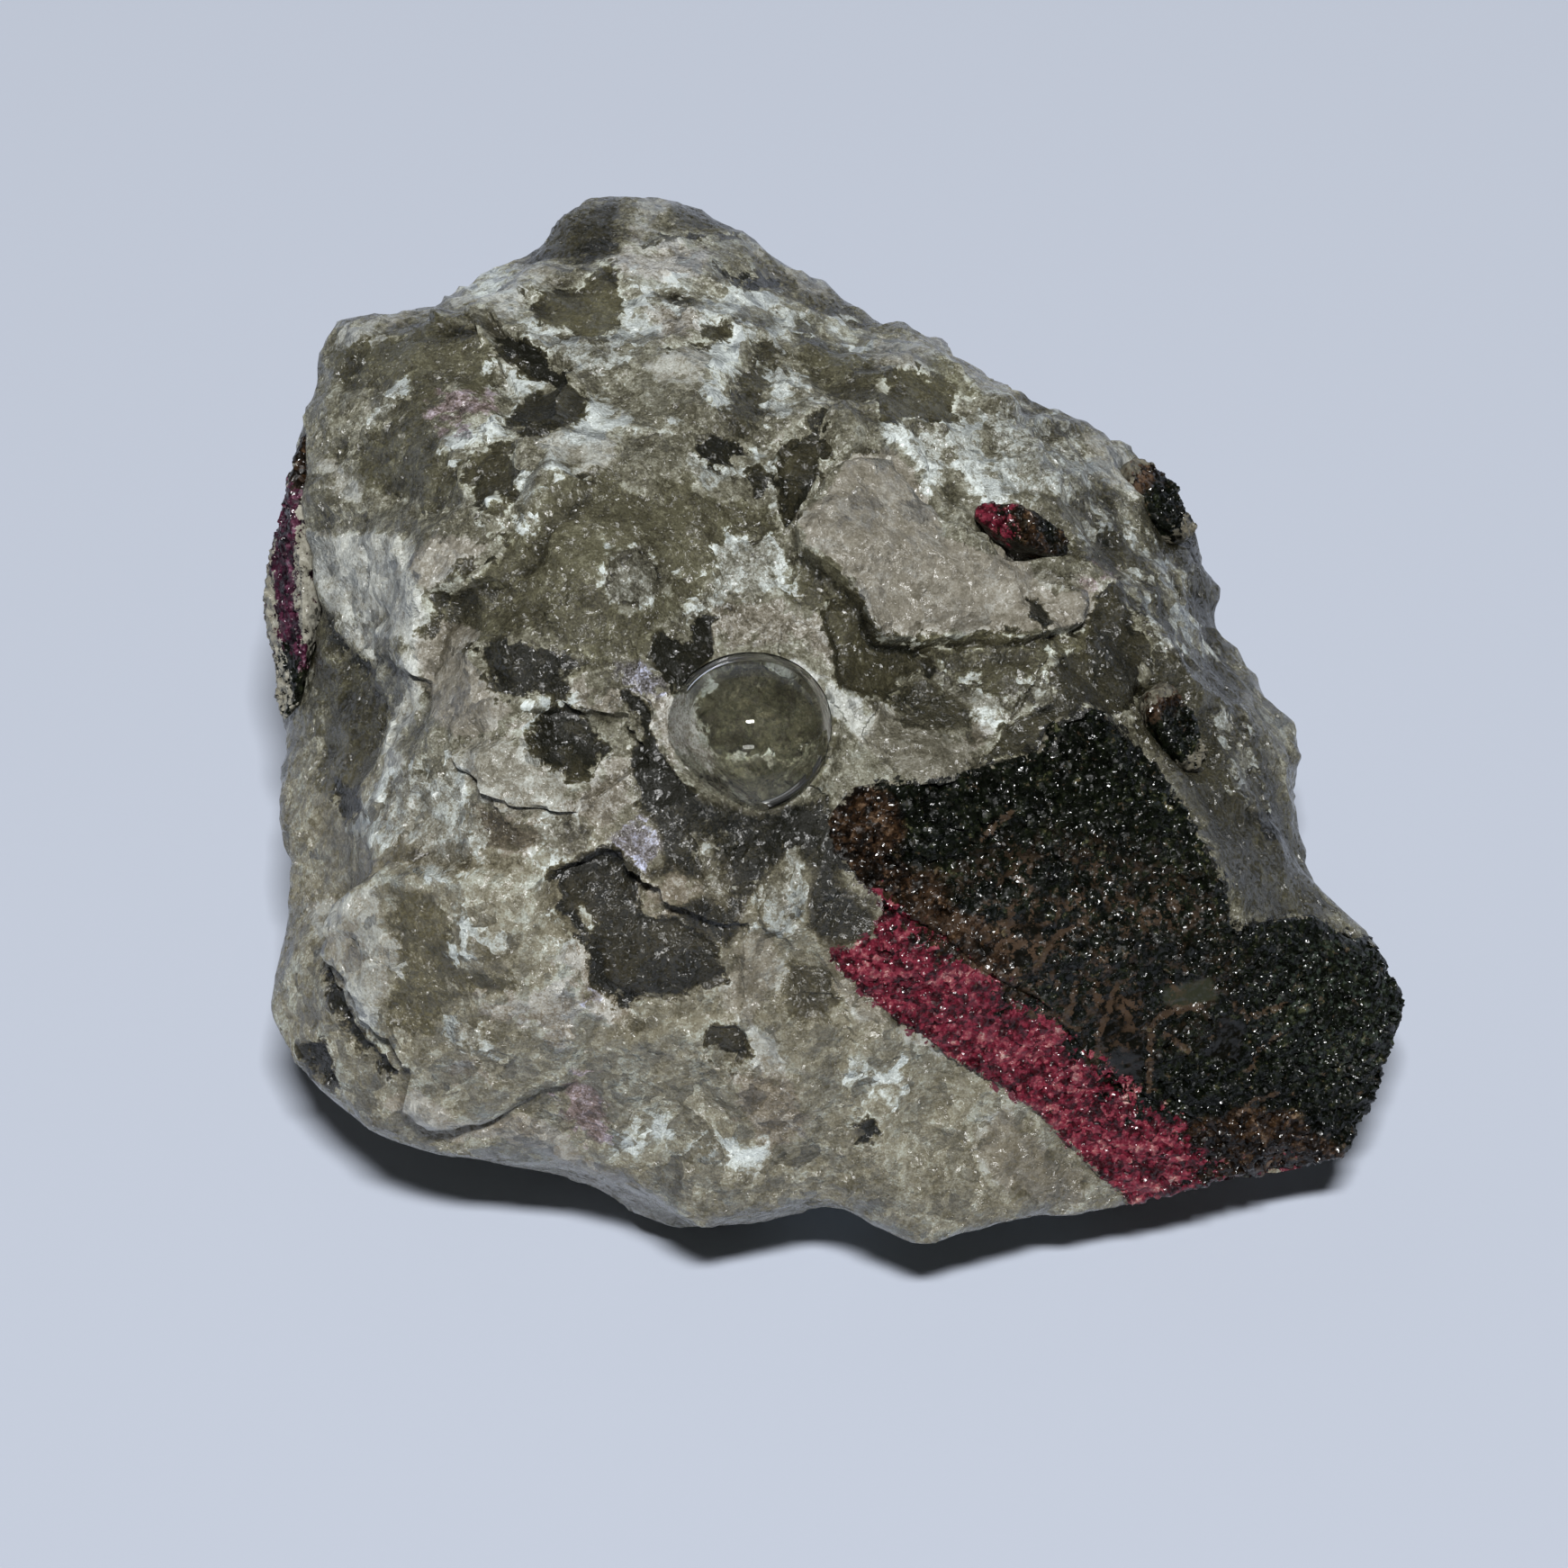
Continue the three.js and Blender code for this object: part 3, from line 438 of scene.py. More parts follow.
# painted shadow: the gap under the slab, sunk and painted as dark as its shadow
PATCHES = Patch.read("""
    # the upper left lobe, from its rim down to the cleft
    smoky 0.2 0.09  -40,28.4 -37.2,30 -34.3,30 -33.8,31 -32,31.2 -29.5,31 -27.8,30 -27,28.6 -26.6,27
        -26.8,25.4 -28,24.6 -30.2,25.4 -31.2,23 -30.8,21 -30,19 -29,17 -29,15.8 -32,15.6 -34,16.5 -36,17
        -37,18.6 -39.5,20.2 -38.5,21 -36.8,21.6 -34.4,25 -37.5,25.8 -38.6,26.5
    frost 0 -0.08  -36.2,22.8 -35.8,24.2 -34.2,25.1 -35.3,23.3
    pale 0 0.09  -40,19.6 -38.4,19.6 -37.6,18.2 -37,16.5 -39.6,17.2
    pink 0 0.04  -31.6,23.4 -30.5,25 -28.4,24.6 -27,24.9 -27,23.2 -28.6,22.6 -30,22.2 -31.4,21.8
    frost 0 0.14  -30.8,20.4 -30.5,21 -28.5,22.2 -26.5,23.6 -25.2,24.4 -25.5,22.6 -27,21.4 -28.8,20.6
    frost 0 0.08  -26.8,26.6 -25.2,27.6 -23.4,27 -23,26 -24.2,25.4 -26,24.9 -27,25.5
    deep 0.5 0  -27,28.6 -25.9,29.9 -24.4,29.2 -22.8,28.1 -21.4,26.6 -20.2,25.9 -20,24.2 -20.6,23.4
        -21.8,22.6 -22.8,21.5 -24.4,21.6 -25.7,22.2 -25.4,23.4 -24.6,24.3 -24.2,25.6 -22.8,26 -23.2,27
        -24.8,26.9 -25.8,27.6
    deep 0.4 0.15  -28.8,18.5 -28.3,19.8 -27,20.9 -25.3,20.9 -24.9,19.7 -25.2,17.6 -25,16.2 -26,15.2
        -28,15.4 -28.8,16.6
    frost 0 0.22  -27.8,16.3 -26.8,16.7 -25.8,16.3 -25.9,15.7 -26.8,15.4
    frost 0 -0.18  -25,14.8 -24.6,16 -23.2,17.4 -21,19 -22.6,18.9 -24.2,17.6 -25,16.2
    pale 0 0.02  -37,30.2 -34.8,31.6 -33,32.3 -31.6,32.2 -31.6,31.4 -34.4,30.4
    pale 0 0.07  -39.8,28.8 -38,30.2 -34.8,30 -36.6,29.4
    # the top lobe
    pale -0.2 0.06  -31.4,32.4 -29.2,34 -27,35.1 -25.4,34.6 -24.6,35.2 -21.6,35.3 -20,34.8 -22,33.9
        -24,32.4 -25.5,31.2 -27.5,31.4 -29.5,31.6
    frost 0 0.17  -29.2,33.4 -27,35 -25.4,34.4 -25.9,33 -28,32.6
    smoky 0.2 -0.05  -31.2,33 -29,34.6 -26,36 -23,37.6 -20.5,39.2 -17,40.2 -17,36.4 -19.2,35.4 -22,35.6
        -25.4,35 -27,35.2 -29.5,33.8
    deep 0.3 0.22  -23.8,32 -22.4,33 -20.4,33.6 -18.6,34.6 -17,34.8 -16.6,31.2 -17,30.4 -18.2,29.5
        -19.6,29.4 -21.2,30.3 -23,30.8
    frost 0 -0.06  -24.6,30.6 -21.5,30 -19,29 -17,29.5 -17,27 -19.5,26.6 -21,27 -22.5,28.6 -23.8,29.4
    pale 0 0.09  -20,22.2 -17,24 -17,19.5 -19.5,19 -21.8,19.2 -22.9,20.6 -22,21.8
    pale 0 0.01  -14.4,40.5 -10.8,40.5 -11.5,39.8 -12.8,39.6 -13.6,37.8 -15,36.9 -15.6,37.8 -14.8,38.6
        -15.4,39.6
    smoky 0 0.02  -13,38.9 -11.6,38.9 -10.8,38 -9.6,37.2 -7.6,37.4 -6.6,38.2 -8.2,39.8 -10,40.2 -12,39.8
    tan 0 0.13  -17.8,35 -17,36.2 -16,37.2 -15,37.2 -14.6,36.2 -12.6,36.8 -10,36.6 -9.6,35.6 -9.9,34.8
        -12,34 -14,33.8 -16,34.2
    deep 0.2 0.08  -14.8,36.4 -12.6,37.8 -10.8,38 -9.8,37.2 -7.4,37.2 -7.6,36.8 -12,36.6 -15,36.2
    deep 0.2 0.12  -9.7,35.4 -8.6,34.3 -7,33.7 -5,33.9 -3.8,34.4 -4.6,35 -8.4,35.2
    pale 0 0  -6.8,38 -5.6,36.8 -4.8,35.6 -3,35.2 -1,33.8 0,32.8 -1.4,32.9 -2.6,33.4 -4,34.5 -5.6,35.2
        -6.6,36.8
    # between the top lobe and the middle
    frost 0 0.09  -16.4,33.6 -12,34 -6,33.6 -1.6,31.6 -3.2,29.4 -8,29.4 -10.4,31.4 -16.4,29.6
    smoky 0.2 -0.09  -14.2,32.6 -13,33.6 -11.2,33.2 -10.4,32.2 -12,32
    tan 0 0.07  -15.4,31.6 -13.6,31.9 -10.6,31.6 -10.3,30 -11.8,29 -13.6,29 -14.4,30.4
    deep 0.2 0.14  -13.4,28.5 -10.6,29.2 -9.4,30.2 -8,31.2 -8.6,30 -10.4,28.8 -13.2,28.3
    smoky 0.1 0.05  -8.2,31.4 -6.6,31.8 -5,31.6 -4.9,30.2 -8.4,30.2
    smoky 0.4 0.04  -7,30 -4.6,29.8 -3.5,28.9 -3.6,27.6 -4.6,26.6 -5,25 -5.5,23.8 -6.2,22.6 -7.2,22
        -9,22.2 -9.6,23.6 -8.8,25 -7.6,26.8 -6.9,28.2
    frost -0.2 0.14  -9,24.4 -8.2,26 -7.8,27.2 -7.6,28.4 -8.6,28.9 -9.6,28.2 -9.4,26.8 -9.8,25.2 -9.8,24
    pale 0 0.05  -14.8,27.2 -12,28.6 -9.6,28.6 -9.6,27 -10.4,25.6 -12,25.8 -14,26.4
    smoky 0.3 0.09  -22,18.4 -19.6,18.9 -17.4,18.2 -14.8,17 -13.2,18.6 -11.6,18.8 -10.4,17.2 -8,17
        -6.6,16.6 -5.4,17 -4.6,15.6 -4.4,14.4 -8.2,12.9 -12,8.3 -14.6,6.3 -14.6,4.2 -21.3,2.5 -25.3,0.5
        -27.1,2.8 -31.1,7.1 -31.1,8.9 -25.3,14.1 -23.6,15.8
    deep 0.5 -0.07  -11.8,20.8 -10.9,22.2 -9.8,22.7 -8.8,22 -7.7,21.9 -7.6,21.2 -6.9,20.8 -8.4,20.4
        -8.2,19.6 -9.6,19.6 -10.8,20.2
    frost 0 -0.04  -11.4,20.2 -9.6,19.4 -6.9,19.3 -7.2,18 -9,18.4 -10.2,18 -11.2,18.8
    frost 0 0.18  -21,23 -19.4,24.4 -17.8,23.4 -16.2,22.6 -13.6,22.4 -15,22 -18,22 -21,21.6
    frost 0 0  -7.8,20.2 -5.6,20.6 -5.4,22.2 -4.2,23 -3,24.2 -0.8,24 -2,25.2 -3.2,26.8 -4,27.8 -4.8,26.6
        -5.1,24.8 -5.6,23 -6.6,21
    tan 0 0.14  -5.2,21.6 -4.8,21.2 -3.6,22 -2,23.4 -0.4,23.8 -1.8,24 -3,23 -4.4,21.9
    deep 0.5 0.04  -5,21.1 -4,21.1 -2.8,22.2 -1.6,23.2 -0.3,23.6 -0.8,22.2 -0.6,20.7 0.7,20 -0.2,19.4
        -1.4,19.6 -1.6,18.4 -2.6,16.8 -3.4,15.4 -4.4,14.6 -4.6,16.2 -4.4,17.6 -4.8,18.6 -4.2,19.6
        -4.6,20.6
    deep 0.2 -0.05  -7,17.8 -6.8,19 -6.2,19.4 -5.8,18.4 -5.6,17.2 -6.4,16.6 -7.2,16.9
    frost 0 -0.13  -5.4,18.6 -5,19.6 -4.4,19.4 -4.7,17.6 -4.6,16.2 -5.1,16
    smoky 0.1 -0.02  -3.6,32.4 -2.8,33 0.4,32.5 2,31.6 2.6,31 0.8,30.6 -1.6,31
    smoky 0.2 0.05  -3.2,31.2 -2,30.8 0,29.2 2,28.8 3.5,27.6 4.2,26 3,24.4 1,23.8 -0.6,24.4 -1.4,25.6
        -2.6,26.8 -3,28.4 -3.4,30
    frost 0 0.14  -0.4,30.6 0.8,31.2 2.2,30.4 1.8,29.2 -0.2,29.8
    pale 0 0  3.2,29.8 6,29.4 7,28.6 7,26.9 5.6,26.8 4,26.8 3.4,28
    deep 0.3 0.21  3.8,26.2 5.2,26.8 6.2,26.9 8,26.2 9.8,25.6 9.7,23.3 6.4,22.9 3.6,22.7 3.4,23.6
    # the upper right and the flank
    smoky 0 -0.04  19.4,18 21.6,17.8 23,16.5 28.6,17.2 29.8,13 31,6 31.6,0 34,-5 37,-11 38.6,-15.6
        34.3,-16.1 31.1,-15.8 30.4,-12.9 28.6,-9 25.4,-4 22.5,-0.8 25,3 21.9,10 20,13
    pale 0 0.02  5,30 9.5,29.2 11.5,28.2 12.6,26.4 15,25.2 16.5,24 13,24.6 11.4,25.4 10,27 8.4,28.4
        5.4,28.6
    smoky 0.1 0.18  7.6,28.1 9,27.6 10,26.6 12,24.6 10.4,24.8 7.8,26.6
    frost 0.1 -0.09  12,24 15.4,24.2 17,23 19,21.6 20,19 19.4,16.5 17,15.6 15,17 13,17.4 12.6,20
    frost 0 0.03  3.4,22.4 6,22.6 7.4,23.1 11.5,23 12.4,21 12,19 13,17 12,16.2 10.8,16.4 10.2,17.6
        9,19.4 7.6,17.6 7,18.4 5,20.6 3.6,21.4
    smoky 0.2 -0.1  8.6,17.6 9.4,18 10.2,17.2 9.4,16.2 8.6,16.8
    pale 0 0.05  19,22.4 21,21.7 22.6,20.2 23.6,19.2 24.2,18 23,16 21.6,17.4 20.4,19 19.4,20.6
    smoky 0.1 -0.03  19.4,17.6 21.2,18 21.6,16.6 20.6,14.6 19.8,15.6
    frost -0.1 -0.11  22.1,10.8 22.9,10.9 24.6,7.6 25.8,5.2 25.2,5 23.6,8
    frost -0.1 -0.03  22.1,16.4 22.7,16.6 24.4,13.4 26.1,9 25.5,8.9 23.6,13.4
    frost -0.1 0.05  25.2,11.8 25.8,11.9 26.4,9.7 27.8,7.7 29.2,4.7 28.6,4.5 27,7.4 25.7,9.4
    frost 0 -0.13  19.7,17 20.3,17 20.7,13 20.2,12.9
    frost 0 0  26.6,12 27.1,12 27.9,9.8 27.3,9.7
    frost 0 -0.15  30.2,-1 30.8,-0.6 32.2,-4.4 33.6,-7.4 33.2,-7.6 31.4,-4.6
    deep 0.3 0.01  20.4,8.8 21,9.8 22.2,10 23.4,8.2 24.6,5 25,3 24,-0.4 22.2,-0.8 20.5,0.4 19,0.4 17,-1
        16.7,-3 14,-3.9 11.8,-4 13.6,-1.4 16.8,0.4 16.8,3 19.9,6.4
    pink 0 0.03  20,11.2 20.6,11.4 22,10.6 21.4,10 19.8,10.3
    # the pale plate and what lies below it
    plate 0 0  -3.4,15.6 -1.3,17 1,19.9 2.7,20.5 4.8,20.2 7.4,17.3 8.5,13.8 12,12.7 15.8,12.1 20.4,8.9
        20.1,6.3 16.1,6.3 8.5,5.7 3.9,5.7 2.7,6.3 1.8,8.9 1,10.9 -0.5,12.4 -2.5,13.2
    pale 0 -0.03  15.4,12.4 18,10.4 20.4,9.4 17.6,9.4 16.2,9.6
    smoky 0.1 0  17,13 19.6,12.6 20.4,12 19,11.2 17.4,12.2
    deep 0.2 -0.22  15.6,8.9 16.6,9 16.4,8.2 16.8,7.2 16.2,6.6 15.8,7.4 15.9,8.3
    deep 0.7 0.08  -1.2,7.8 -0.4,8.7 0.6,8.6 1.6,9.2 2.2,8.4 2.6,7 3.2,6.2 4.2,5.8 5.4,5.8 7,5.4 8.5,3
        5.6,1.2 3.2,1.2 1,1.4 0.2,2 -0.2,4 -0.6,6
    smoky -0.5 0  6.8,4.5 8.5,5.7 16.1,6 16.6,4.5 14.3,0.2 13.7,-0.6 9.1,1.9
    deep 0 0.22  7,6 12,6.1 15,5.6 19.6,6.4 19.8,4.8 17,4.4 14,5 10,4.9 7,4.9
    frost -0.2 -0.22  8,3.2 9.8,1.9 11.2,0.9 13.2,0.5 13.2,0.1 11,0.3 9.4,1.3 7.8,2.6
    frost -0.2 -0.22  13.4,-0.6 14,0.6 15.4,2.2 16.4,2.6 16.8,0.2 16,-0.1 15,1 14.4,0.2 13.8,-0.8
    smoky 0 -0.12  4,1 7,3 10,0.8 11.4,-0.6 11,-1.8 8,-1.6 6,-0.4
    pale -0.3 -0.13  3,0.6 4,-0.6 6,-1 8,-2 11,-2.6 11.6,-4.2 10,-5 9,-5.6 6.6,-5.7 4.6,-4.9 3,-3.4
        2,-2.4 1.4,-0.6
    tan 0 -0.22  10.2,-2.2 11.2,-1.6 12,-2.2 10.8,-2.8
    # the left side
    pale -0.2 0.12  -41.4,10.8 -40.2,8.6 -39.2,7.6 -37.2,6.8 -36.6,7.2 -35.4,7.8 -36.4,6 -34.6,5.2
        -33,5.2 -32,6 -31.6,7.8 -32.4,9 -32.8,11 -33.2,13 -34.5,14 -41.6,14 -42.2,12
    smoky 0.3 0.03  -42.2,8.8 -40.8,8.6 -39.8,7.2 -38.8,5.6 -37.4,3.8 -36.4,2.6 -35.4,1 -35.4,-1.6
        -36,-4 -37,-6 -37.8,-8.6 -38.9,-8.4 -39.4,-6.6 -40.4,-5.4 -40.6,-2.6 -40.2,0 -41,2.6 -42,4.6
    pale 0 0.05  -38.8,7.2 -36.6,6.6 -36,4.2 -37.4,4.4 -38.6,5.6
    deep 0.3 -0.16  -42.2,10.6 -41.4,9.2 -40,7.9 -39.1,7.4 -39.2,6.6 -38.4,5.2 -37,3.4 -35.8,2 -36.3,1.9
        -38.8,4.8 -39.8,7.2 -41.8,8.8
    deep 0.3 -0.12  -39.4,-5.2 -38,-6.6 -37.2,-5.9 -37,-8 -38.6,-8.8 -39.2,-7
    plate 0 -0.02  -32,6 -31.4,7 -29.6,6.6 -28.4,6 -28.6,4.6 -27.8,3.4 -26.8,1.6 -25.2,-0.2 -27,-1.6
        -28.8,-2.2 -30.2,-2 -31.2,-1 -32.2,0.4 -32.4,3
    pale -0.2 0.09  -34,4 -33,4.6 -32.4,3 -32.4,0.6 -33,-1 -34.4,-2.6 -33.4,-4 -34.6,-5.2 -35.8,-7.4
        -37,-9.4 -38.2,-9.6 -37.6,-9 -36.4,-6.4 -35.2,-4.6
    plate 0 0.03  -32.8,11.6 -31,13.8 -27.2,13.2 -28.6,12 -30,10.4 -32.2,9.1
    deep 0.3 0.04  -31.8,6 -31.2,8.4 -30,10.2 -28,12 -26.4,13.6 -27.8,12.7 -30,10.9 -31.8,8.8
    deep 0.3 -0.05  -28.6,4.8 -27.6,5.3 -25,5.4 -22,4.6 -20,3.6 -22,2.4 -21.2,1.6 -22,1 -25,0.6
        -25.3,0.2 -26.2,0.8 -27,2.4 -28,4
    frost -0.2 0.12  -25,0.6 -23,1.1 -21.4,0.9 -21.6,0.2 -22.8,0 -23,-1 -24.2,-0.9 -25,-0.1
    tan 0 -0.06  -21.6,1.6 -20,2.4 -18.6,2 -17,2 -17,0 -19,0.2 -22.2,0.8
    deep 0.5 0.03  -23.2,-1.2 -22.6,-0.2 -21,-0.2 -19.6,-0.9 -18.2,-2.4 -17.4,-3.4 -18.4,-4.4 -19.2,-5.6
        -20.2,-5.6 -21.2,-4.8 -22.6,-4 -23.8,-3.2 -24,-2.2
    tan 0 0.13  -27.2,-1.2 -25.6,-0.8 -24.2,-1.2 -24.2,-2 -27,-2.2
    frost 0 -0.13  -35,-5.6 -33,-4.6 -30.4,-5 -29,-6.6 -28.6,-8.6 -27.9,-10 -28.8,-12.4 -31,-13.4
        -34,-11 -36,-9.4 -35.4,-7.4
    pale -0.2 -0.04  -30,-4.2 -29.2,-3 -27.4,-2.2 -25.6,-2.3 -24.4,-2.8 -23.4,-3.9 -21.6,-4.6 -20.2,-6
        -19.4,-6.6 -19.8,-7.6 -21.2,-8.4 -22.8,-8.6 -24.8,-8.2 -26.4,-7.9 -27.6,-6.8 -28.6,-5.6
        -30.2,-4.9
    tan 0 -0.2  -28.4,-7.4 -27,-8.6 -24.8,-9 -22.6,-9.3 -23,-10.4 -25,-11 -27.6,-10.6 -28.4,-9
    frost 0 -0.22  -22.4,-9 -21,-9 -19.8,-9.6 -20,-11 -21.6,-12 -23,-10.6
    # the middle, round the drop
    frost 0 -0.22  -17.8,12.2 -15.4,12.6 -14.2,11 -14.4,9.6 -16,8.4 -18,8.6 -18.6,10
    frost 0 -0.12  -9.6,12.8 -8,13.6 -5.6,13.8 -4.6,12.4 -4.8,10.6 -5,9.6 -6.4,8.8 -7.6,8.6 -8.8,9.4
        -9.8,9.9 -9.4,11
    frost 0 -0.09  -13,7.6 -11.6,8.4 -8.8,9.8 -8.8,9.2 -11,7.6 -12.4,7.2
    smoky 0.3 -0.01  -4.7,12.4 -3.6,12.9 -1.4,12.7 0,12.3 0.8,11.6 0.6,10.4 1,9.4 0.4,8.9 -0.8,8.8
        -1.4,8 -2.8,8.2 -4,9 -4.6,10.4
    tan 0 -0.01  -10,8.2 -8.4,8.9 -6.6,8.6 -4.4,8.8 -3,7.8 -1.6,7.6 -0.6,6 0,4.6 -0.2,3.4 -1.6,4.4
        -3,5.4 -5,5.4 -7,5.4 -8.2,4.6 -9.4,5 -10.2,6.4
    deep 0.3 -0.21  -11.8,7.1 -10.6,7.6 -10,7.4 -10.4,6.6 -10,5.2 -11.2,4.8 -11.6,6.2
    deep 0.6 -0.11  -14.4,5.4 -13.8,5.9 -12.6,5.2 -10.2,5 -10,4.4 -11.4,3 -12,1.8 -12.6,0.8 -13,2.2
        -14,3 -14.8,3.6
    lilac 0 -0.02  -18,4 -16,3.8 -14.6,3.4 -13.4,2.4 -13,1.4 -15,1.2 -16.6,1.6 -17.8,2.6
    deep 0.3 -0.22  -17,1.6 -15.6,0.6 -15,-0.8 -15,-2 -16,-1.2 -16.6,0.2
    smoky 0.1 0.12  -10.8,2.4 -8,4.4 -4.4,4.2 -1.4,2 0.2,-1 -0.6,-4.6 -3,-6.8 -6.4,-7.2 -9.6,-5.8
        -11,-2.6
    deep 0.2 0.21  -10,-0.2 -9.4,1.4 -6,2 -3,1.6 -1.4,0 -1.6,-2 -4,-3 -8,-3 -9.6,-2
    pale 0 0.16  -5.4,3.8 -3,3.6 -1.4,2.4 0.4,1.4 2,0.4 3,-0.6 2,-2.4 1,-1.4 0,-0.2 -1.2,0.8 -3,1.3
        -4.6,2 -5.6,2.8
    tan -0.3 0.11  -15,1 -13.2,1.2 -11.6,0.8 -10.4,0.4 -10,-0.8 -9.2,-2 -8.6,-3.4 -9.2,-4.4 -10.6,-3.6
        -12,-3.6 -12.2,-4.8 -13.2,-5 -14,-3.8 -14.2,-2.4 -15,-1.2 -14.6,0
    deep 0.3 -0.22  -16,-3.2 -14.9,-2.3 -13.7,-3.8 -11.4,-6.7 -13.7,-8.7 -15.8,-7.6
    tan 0 0.06  -18.6,-4 -17,-3.2 -16.2,-4 -16,-6 -15.6,-7.4 -16.6,-8.8 -18,-9.6 -20,-9.4 -21,-8
        -20.4,-6.4 -19,-5.6
    # between the drop and the crystals
    smoky 0 -0.22  -15.5,-8.1 -11.4,-6.7 -6,-8.6 -0.7,-7.2 0.4,-13.6 2.9,-15.1 2.5,-17.9 -0.3,-18.6
        -2.1,-16.8 -1.9,-12.2 -3.9,-11.6 -6.8,-14.5 -8.5,-18.6 -12.6,-16.6 -14.6,-16.3
    deep 0.3 -0.08  -22.4,-13.4 -20.6,-11.8 -19,-11.2 -17.6,-10.8 -15.8,-12.8 -15.2,-16.3 -12.6,-16.6
        -9.7,-18.6 -8.8,-21.2 -12.6,-22.9 -16.6,-23.2 -18.9,-21.5 -19.4,-18.2 -21.6,-16.6
    lilac -0.1 0.03  -18,-10.4 -16.8,-9 -15.6,-8.4 -14.4,-9 -13.8,-10.4 -13.6,-12 -14.6,-12.6 -16,-12.6
        -17.4,-11.8
    tan -0.1 -0.06  -15.2,-14 -14.6,-16.4 -12.6,-15.4 -11,-14.6 -9,-14.3 -10,-13.4 -13,-13
    frost -0.3 -0.14  -10,-10.6 -9.2,-12 -8.4,-14 -8.6,-15.4 -10,-14.5 -10.7,-11
    frost -0.4 -0.12  -6.2,-13.9 -3.9,-11.6 -2.7,-12.8 -2.7,-15.7 -4.4,-17.3 -5.3,-17.4 -5.9,-16
    pale 0 -0.09  -8,-19 -8.6,-21 -9,-22 -8,-23.6 -6.8,-24.5 -5,-22 -4.6,-20.5 -5,-18 -6.6,-17.6
    smoky 0.1 -0.06  -3.5,-20.5 -0.5,-20.5 0.4,-22 -1,-24 -2.6,-25 -4,-22.4
    deep 0.4 0.01  -10,-25 -8,-25 -7,-26 -6.9,-27.6 -8.6,-27.8 -9.6,-27 -10.4,-26
    pale 0 0.04  -7,-25 -4.4,-25.6 -4,-27 -4,-28.8 -5.4,-28.8 -6.6,-28 -7,-26.6
    pale -0.2 -0.1  -0.9,-19.7 0,-21.4 2,-23.9 4.4,-24.2 8,-26.9 6,-25.3 1.6,-21.9
    # the lower left slab
    smoky 0.1 0.08  -35,-14 -31,-15.5 -29.5,-17 -29.5,-19 -28,-20.5 -24,-21 -24,-22 -30,-22 -31,-24
        -32,-25.5 -36,-24 -35,-22 -34.5,-19 -35.5,-16.5
    pale 0 0.01  -41,-15 -36,-14.2 -35.6,-17 -34.4,-19.5 -35.5,-23 -36.6,-25 -38.4,-22.6 -39.6,-20
        -40.4,-18
    frost 0 -0.01  -29.6,-15.5 -28,-16 -28,-18 -26,-18.4 -27,-19.6 -29,-19.4 -29.6,-17.5
    tan -0.2 0.08  -28,-22 -24,-22 -22,-21 -20.6,-18.5 -19.6,-19 -19.5,-21 -18.6,-22 -17,-23.5 -18,-25
        -20,-24 -20.5,-26 -21.6,-27 -23,-26 -25,-24 -28,-23.5
    lilac 0.1 -0.22  -20,-22.2 -19.3,-21.9 -19,-22.6 -19.6,-23
    frost 0 0.02  -22.9,-14.4 -22,-15.8 -21.4,-17.6 -22,-17.4 -22.8,-15.8
    frost 0 0.03  -20.6,-15.6 -19.4,-17.8 -18.9,-16.8 -20.2,-15.4
    frost 0 -0.1  -30.5,-24 -28,-25 -27,-26 -30,-26.2
    tan 0 0.08  -31,-28 -29,-27.4 -27,-29 -28,-29.4 -30,-28.8
    deep 0.8 -0.12  -40,-20.5 -39,-22 -38.3,-23.5 -37,-25.5 -36,-26.5 -34,-28.6 -35.4,-28.4 -38,-25.6
        -39.4,-23 -40.2,-21
    deep 1 -0.15  -41.5,-26 -40,-26 -39.2,-27.4 -38.6,-29 -40,-29 -41.2,-28
    # the foot
    plate 0 0.04  -35.5,-30.5 -33,-30 -30,-32 -25,-31.7 -22,-33 -20,-35 -15,-37 -13,-38.6 -16,-38.4
        -20,-36.6 -26,-33.6 -32,-33.6
    pink 0 -0.01  -21.5,-30 -20,-29 -18.4,-30.4 -17.6,-31.5 -18.3,-33 -20,-33 -21,-31.5
    frost 0 0.04  -16.8,-33 -14,-32.8 -14,-33.8 -16.6,-33.9
    tan 0 -0.03  -7,-29 -4,-29 -3,-30 -2,-31.5 -3,-33 -4,-35 -6,-34 -7,-32 -8,-30.5
    frost 0 0.03  -11,-34.8 -8,-34.9 -5.6,-34.4 -6.4,-35.3 -9,-35.6 -11,-35.4
    frost 0 0.03  2,-28.3 4.8,-28 3,-29.2 2.6,-29.6
    frost 0 0.06  3.6,-30 5.4,-30.4 4.4,-31
    deep 0.2 -0.17  1.6,-33 3,-32.4 3.4,-33.4 2,-34
    pale 0 -0.15  13,-31 16.5,-34.5 19.6,-37 18.6,-38.4 14,-38 11,-34
""")

# the outline of the large crystal zone, and of the grains that stray past it
ZONE = line_of(
    "-0.6,-19.2 2.9,-17.9 3.6,-15.1 2.2,-13.7 -0.4,-11.1 -0.4,-8.6 1.5,-6.3 4.7,-5.7 6.4,-5.7 10,-5 "
    "14,-4 16.1,-3.3 16.7,-1.3 19.7,0.5 21.5,-0.8 24.7,-4.3 27.2,-7.6 29,-11.1 30.6,-14.7 30.7,-17.2 "
    "34,-16.5 37.2,-16 40,-17.9 50,-16 50,-48 24,-48 22.9,-38.2 20.7,-36.1 16.1,-31.5 12.5,-29 "
    "8.3,-26.5 4.7,-24 1.1,-21.1")

STRAY_GRAINS = line_of("32.9,-8.1 33.8,-7.9 34.5,-8.8 35.2,-10.7 34.9,-11.3 33.8,-10.2")

